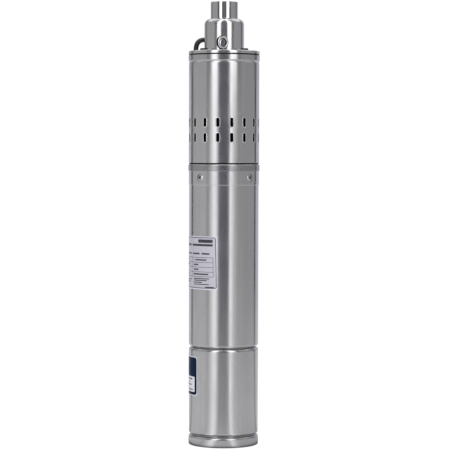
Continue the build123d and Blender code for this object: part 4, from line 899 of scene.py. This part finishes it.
class PUMP_OT_lay_cable(bpy.types.Operator):
    """The supply cable: over the flange, down the back, coiled behind the pump, with bared cores"""
    bl_idname = "pump.lay_cable"
    bl_label = "Lay supply cable"

    def execute(self, context):
        cable = context.scene.pump_cable
        sheath = moulded("Cable sheath", cable.sheath_colour, 0.13, 1200.0, 0.00001, 0.005)
        line = CABLE_ROUTE + coil_points(cable.turn_points) + TAIL_ROUTE
        cord = laid_curve("supply_cord", [line], cable.diameter / 2)
        cord.data.materials.append(sheath.material)

        end = Vector(TAIL_ROUTE[-1])
        ahead = end - Vector(TAIL_ROUTE[-2])
        ahead.z = 0.0
        ahead.normalize()
        side = Vector((-ahead.y, ahead.x, 0.0))
        pieces, tips = [], []
        for index, (name, colour) in enumerate(CORE_COLOURS.items()):
            shift = index - 1
            root = end - ahead * CORE_ROOT + side * (shift * cable.core_diameter)
            tip = end + ahead * cable.core_length + side * (shift * cable.core_spread)
            tip.z = cable.core_diameter / 2 + TIP_LIFT
            line = [root]
            for part, bow in CORE_BOWS:
                aside = side * (bow * (shift or 0.6))
                line.append(root.lerp(tip, part) + aside + Vector((0, 0, CORE_LIFT)))
            core = laid_curve(name, [line], cable.core_diameter / 2, 4)
            skin = moulded("Insulation " + name, colour, 0.35, 1500.0, 0.00001, 0.03)
            core.data.materials.append(skin.material)
            pieces.append(core)
            last = line[-1]
            tip_end = tip - Vector((0, 0, STRAND_DROP))
            tips.append([last.lerp(tip, -0.15), last.lerp(tip, 0.5), tip_end])
        strands = laid_curve("core_strands", tips, STRAND_RADIUS, 3)
        copper = turned_metal("Tinned strands", (0.72, 0.42, 0.25), 0.3, 3000.0, 0.00001, 0.15)
        strands.data.materials.append(copper.material)
        pieces.append(strands)
        for piece in [cord] + pieces:
            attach(piece, ROOT)
        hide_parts("supply_cable", "cable_coil", "cable_tail")
        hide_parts("cable_cores")
        dress(sheath, "inner_cable", "supply_cable", "cable_coil", "cable_tail", "cable_cores")
        return {"FINISHED"}


class PUMP_OT_finish_motor(bpy.types.Operator):
    """Capacitor, bearings, stator, windings, rotor and shaft"""
    bl_idname = "pump.finish_motor"
    bl_label = "Finish motor"

    def execute(self, context):
        dress(glazed("Capacitor can", (0.80, 0.80, 0.76), 0.3), "capacitor")
        plastic = moulded("Black moulding", (0.035, 0.035, 0.038), 0.45)
        dress(plastic, "capacitor_holder", "thermal_protector")
        leads = moulded("Lead insulation", (0.30, 0.10, 0.03), 0.35, 1500.0, 0.00001, 0.03)
        dress(leads, "capacitor_leads")
        iron = turned_metal("Machined iron", (0.30, 0.30, 0.31), 0.42)
        # Painted shade and a painted highlight on the rim between the two casings
        joint = levels("lower_casing")[1], levels("motor_casing")[0]
        dress(joint_shade_and_highlight(iron, *joint), "lower_bearing_housing")
        race = turned_metal("Ground bearing steel", (0.62, 0.62, 0.64), 0.12, 4000.0, 0.000002, 0.02)
        dress(race, "lower_bearing_outer_ring", "lower_bearing_inner_ring", "upper_bearing_outer_ring",
              "upper_bearing_inner_ring")
        dress(polished_metal("Bearing balls and cage", (0.66, 0.64, 0.60), 0.1), "lower_bearing_balls",
              "upper_bearing_balls", "joint_balls")
        spring = turned_metal("Spring steel", (0.36, 0.36, 0.39), 0.25)
        dress(spring, "spring_washer", "seal_spring", "seal_retainer")
        dress(stacked_steel("Core sheets", (0.24, 0.25, 0.28)), "stator_core", "rotor_core")
        dress(wound_copper("Varnished windings", (0.48, 0.16, 0.05)), "stator_windings")
        dress(cast_metal("Cast aluminium", (0.66, 0.67, 0.69), 0.38, 700.0), "rotor_cage")
        shaft = turned_metal("Ground shaft steel", (0.55, 0.55, 0.57), 0.18, 3200.0, 0.000003, 0.03)
        dress(shaft, "motor_shaft")
        return {"FINISHED"}


class PUMP_OT_finish_screw(bpy.types.Operator):
    """Shaft seal, drive rod and its joints, screw, lining and tube"""
    bl_idname = "pump.finish_screw"
    bl_label = "Finish seal, drive and screw"

    def execute(self, context):
        dress(glazed("White ceramic", (0.82, 0.80, 0.73), 0.16), "seal_seat")
        carbon = turned_metal("Carbon graphite", (0.035, 0.035, 0.04), 0.32, 2600.0, 0.000003, 0.1)
        dress(carbon, "seal_face_ring")
        rubber = moulded("Seal rubber", (0.014, 0.014, 0.014), 0.5)
        dress(rubber, "seal_seat_cup", "seal_bellows", "sand_flinger", "stator_lining")
        dress(turned_metal("Drive steel", (0.50, 0.50, 0.52), 0.26), "lower_drive_socket",
              "upper_drive_socket", "drive_rod", "lower_drive_pins", "upper_drive_pins", "stator_tube")
        dress(polished_metal("Hard chrome", (0.60, 0.61, 0.63), 0.09), "screw_rotor")
        return {"FINISHED"}


# What stands round the pump at eye level: the angle from the front in degrees, the card's grey and
# its lilac tint
LOW_CARDS = (
    (-180, 0.5, 0.12), (-143, 0.62, 0.08), (-138, 0.72, 0.05), (-133, 0.03), (-126, 0.03), (-122, 0.5),
    (-70, 0.54), (-61, 0.54), (-56, 0.34), (-51, 0.42), (-44, 0.72), (-38, 1.0), (-32, 1.32),
    (-27, 1.28), (-21, 0.75), (-16, 0.14, 0.15), (12, 0.13, 0.15), (17, 0.25), (20, 1.6), (24, 1.3),
    (30, 0.8), (36, 0.56), (42, 0.45), (50, 0.39), (104, 0.37, 0.03), (119, 0.42, 0.05), (123, 0.03),
    (129, 0.03), (133, 0.6, 0.08), (180, 0.5, 0.12),
)

# The same above the strainer, where the cards are whiter and sharper
HIGH_CARDS = (
    (-180, 0.5, 0.1), (-133, 0.3, 0.04), (-124, 0.12), (-118, 0.4), (-100, 0.38), (-60, 0.38),
    (-54, 0.1), (-42, 0.12), (-39, 2.1), (-22, 2.1), (-19, 0.12, 0.12), (0, 0.18, 0.1), (18, 0.12, 0.1),
    (21, 2.1), (40, 2.1), (43, 0.12), (54, 0.12), (60, 0.36), (112, 0.33, 0.03), (120, 0.1),
    (130, 0.16), (136, 0.5, 0.1), (180, 0.5, 0.1),
)

# Higher up, where the front cards end under a soft box overhead
TOP_CARDS = (
    (-180, 1.0), (-110, 1.0), (-90, 0.42), (-50, 0.3), (-42, 1.7), (-20, 1.7), (-17, 0.2), (17, 0.2),
    (20, 1.7), (42, 1.7), (50, 0.3), (90, 0.42), (110, 1.0), (180, 1.0),
)

# Where one set of cards fades into the next and where the soft box overhead is, in millimetres
HIGH_START, TOP_START = (560.0, 690.0), (2000.0, 2800.0)
SOFT_BOX, CEILING = (1500.0, 900.0), (4700.0, 4750.0)

# The floor as the steel mirrors it: its height and the radii between which its light and the shadow
# at the pump's foot fade, in millimetres, the bright sector in front, in degrees, and the light in that
# sector and beside it, near the pump and far off, and the depth of the shadow
GROUND, NEAR_FLOOR, FAR_FLOOR, FOOT_SHADOW = (1.0, 0.5), (300.0, 60.0), (300.0, 2600.0), (68.0, 52.0)
FRONT_SECTOR, SECTOR_LIGHT, FLOOR_LIGHT, SHADOW = (14.0, 26.0), (0.32, -0.15), (0.42, 0.10), 0.85

# The cylinder room of the cards and the floor, in metres
ROOM_RADIUS, ROOM_HEIGHT, FLOOR_RADIUS, FLOOR_GAP = 2.9, 4.8, 80.0, 0.0005

# The soft boxes that light the pump: place, side and power, and the height that they point at
LAMPS = {
    "key_left": ((-1.5, -2.0, 1.5), 1.4, 26.0), "key_right": ((1.6, -1.9, 1.3), 1.4, 22.0),
    "top_light": ((0.0, 0.0, 2.6), 1.6, 26.0), "back_light": ((0.3, 2.2, 1.6), 1.4, 14.0),
}
LAMP_AIM = Vector((0, 0, 0.28))


def card_ring(w, angle, cards):
    """The cards' brightness at an angle round the pump."""
    ramp = w.add("ValToRGB", {"Fac": w.span(angle, -180.0, 180.0)})
    elements = ramp.color_ramp.elements
    elements[0].position, elements[0].color = 0.0, grey(*cards[0][1:])
    elements[1].position, elements[1].color = 1.0, grey(*cards[-1][1:])
    for at, *tone in cards[1:-1]:
        elements.new((at + 180.0) / 360.0).color = grey(*tone)
    return ramp.outputs["Color"]


def mirrored_cards():
    """A material that only gives light: the cards, the soft box overhead, and the floor with the shadow
    at the pump's foot."""
    material = bpy.data.materials.new("Reflection cards")
    material.use_nodes = True
    material.cycles.emission_sampling = "NONE"
    w = Wiring(material.node_tree)
    w.tree.nodes.remove(w.tree.nodes["Principled BSDF"])
    angle, radius, height = w.use(around_axis)
    cards = card_ring(w, angle, LOW_CARDS)
    for start, ring in ((HIGH_START, HIGH_CARDS), (TOP_START, TOP_CARDS)):
        cards = w.mix(w.span(height, *start), cards, card_ring(w, angle, ring))
    overhead = w.times(w.span(radius, *SOFT_BOX), w.span(height, *CEILING))
    cards = w.mix(overhead, cards, grey(1.5))
    near = w.span(radius, *NEAR_FLOOR)
    sector = w.span(w.calc("ABSOLUTE", angle), *FRONT_SECTOR, *SECTOR_LIGHT)
    floor = w.times(near, sector, w.span(radius, *FAR_FLOOR, *FLOOR_LIGHT))
    ground = w.span(height, *GROUND)
    lit = w.mix(w.times(ground, floor), cards, grey(0.80))
    contact = w.times(ground, w.span(radius, *FOOT_SHADOW, 0.0, SHADOW))
    light = w.add("Emission", {"Color": w.mix(contact, lit, grey(0.08))})
    w.feed(w.tree.nodes["Material Output"].inputs["Surface"], light.outputs[0])
    return material


class PUMP_OT_set_stage(bpy.types.Operator):
    """White floor and backdrop, soft light, the cards that the steel mirrors, and the camera"""
    bl_idname = "pump.set_stage"
    bl_label = "Set stage"

    def execute(self, context):
        stage = context.scene.pump_stage
        scene = context.scene
        scene.view_settings.view_transform = "Standard"

        scene.world = bpy.data.worlds.new("White studio")
        scene.world.use_nodes = True
        w = Wiring(scene.world.node_tree)
        background = w.tree.nodes["Background"].inputs
        w.feed(background["Color"], grey(1.0))
        w.feed(background["Strength"], w.span(seen(w), 0.0, 1.0, stage.daylight, 1.0))

        floor = new_mesh(bpy.ops.mesh.primitive_circle_add, "studio_floor", vertices=96,
                         radius=FLOOR_RADIUS, fill_type="NGON")
        w = Finish("Studio floor", (0.85, 0.85, 0.85), 0.6)
        viewed = seen(w)
        away = w.span(w.use(around_axis)["Radius"], 350.0, 1100.0, smooth=True)
        w.set("Base Color", w.mix(viewed, grey(0.85), w.mix(away, grey(0.26), grey(0.0))))
        w.set("Emission Color", w.mix(viewed, grey(0.0), w.mix(away, grey(0.80), grey(1.0))))
        w.set("Emission Strength", 1.0)
        w.set("Specular IOR Level", 0.0)
        floor.data.materials.append(w.material)

        room = new_mesh(bpy.ops.mesh.primitive_cylinder_add, "reflection_cards", vertices=96,
                        radius=ROOM_RADIUS, depth=ROOM_HEIGHT, end_fill_type="TRIFAN")
        room.data.transform(Matrix.Translation((0, 0, ROOM_HEIGHT / 2 + FLOOR_GAP)))
        room.data.flip_normals()
        room.data.materials.append(mirrored_cards())
        room.visible_camera = room.visible_diffuse = False
        room.visible_shadow = room.visible_transmission = False

        for name, (place, size, power) in LAMPS.items():
            light = bpy.data.lights.new(name, "AREA")
            light.size = size
            light.energy = power * stage.lamp
            lamp = bpy.data.objects.new(name, light)
            lamp.location = place
            lamp.rotation_euler = (LAMP_AIM - Vector(place)).to_track_quat("-Z", "Y").to_euler()
            lamp.visible_glossy = lamp.visible_camera = False
            scene.collection.objects.link(lamp)

        camera = bpy.data.cameras.new("Photo camera")
        camera.sensor_width = 36.0
        camera.lens = stage.lens
        view = bpy.data.objects.new("Photo camera", camera)
        turn = Matrix.Rotation(pi / 2 - stage.tilt, 4, "X") @ Matrix.Rotation(stage.roll, 4, "Z")
        view.matrix_world = Matrix.Translation((stage.side, -stage.distance, stage.height)) @ turn
        scene.collection.objects.link(view)
        scene.camera = view
        return {"FINISHED"}


STEPS = (
    PUMP_OT_finish_tubes, PUMP_OT_fit_screws, PUMP_OT_finish_head, PUMP_OT_cut_thread,
    PUMP_OT_print_labels, PUMP_OT_finish_motor, PUMP_OT_finish_screw, PUMP_OT_lay_cable,
    PUMP_OT_set_stage,
)


class PUMP_PT_panel(bpy.types.Panel):
    """The steps that dress the pump, in order"""
    bl_label = "Pump"
    bl_idname = "PUMP_PT_panel"
    bl_space_type = "VIEW_3D"
    bl_region_type = "UI"
    bl_category = "Pump"

    def draw(self, context):
        for step in STEPS:
            self.layout.operator(step.bl_idname)


SETTINGS = {
    "pump_steel": PumpSteelSettings, "pump_thread": PumpThreadSettings, "pump_label": PumpLabelSettings,
    "pump_cable": PumpCableSettings, "pump_stage": PumpStageSettings,
}


def register():
    for kind in (*SETTINGS.values(), *STEPS, PUMP_PT_panel):
        bpy.utils.register_class(kind)
    for name, kind in SETTINGS.items():
        setattr(bpy.types.Scene, name, bpy.props.PointerProperty(type=kind))


def unregister():
    for name in SETTINGS:
        delattr(bpy.types.Scene, name)
    for kind in reversed((*SETTINGS.values(), *STEPS, PUMP_PT_panel)):
        bpy.utils.unregister_class(kind)


def main():
    register()
    for step in STEPS:
        group, name = step.bl_idname.split(".")
        getattr(getattr(bpy.ops, group), name)()


if __name__ == "__main__":
    main()
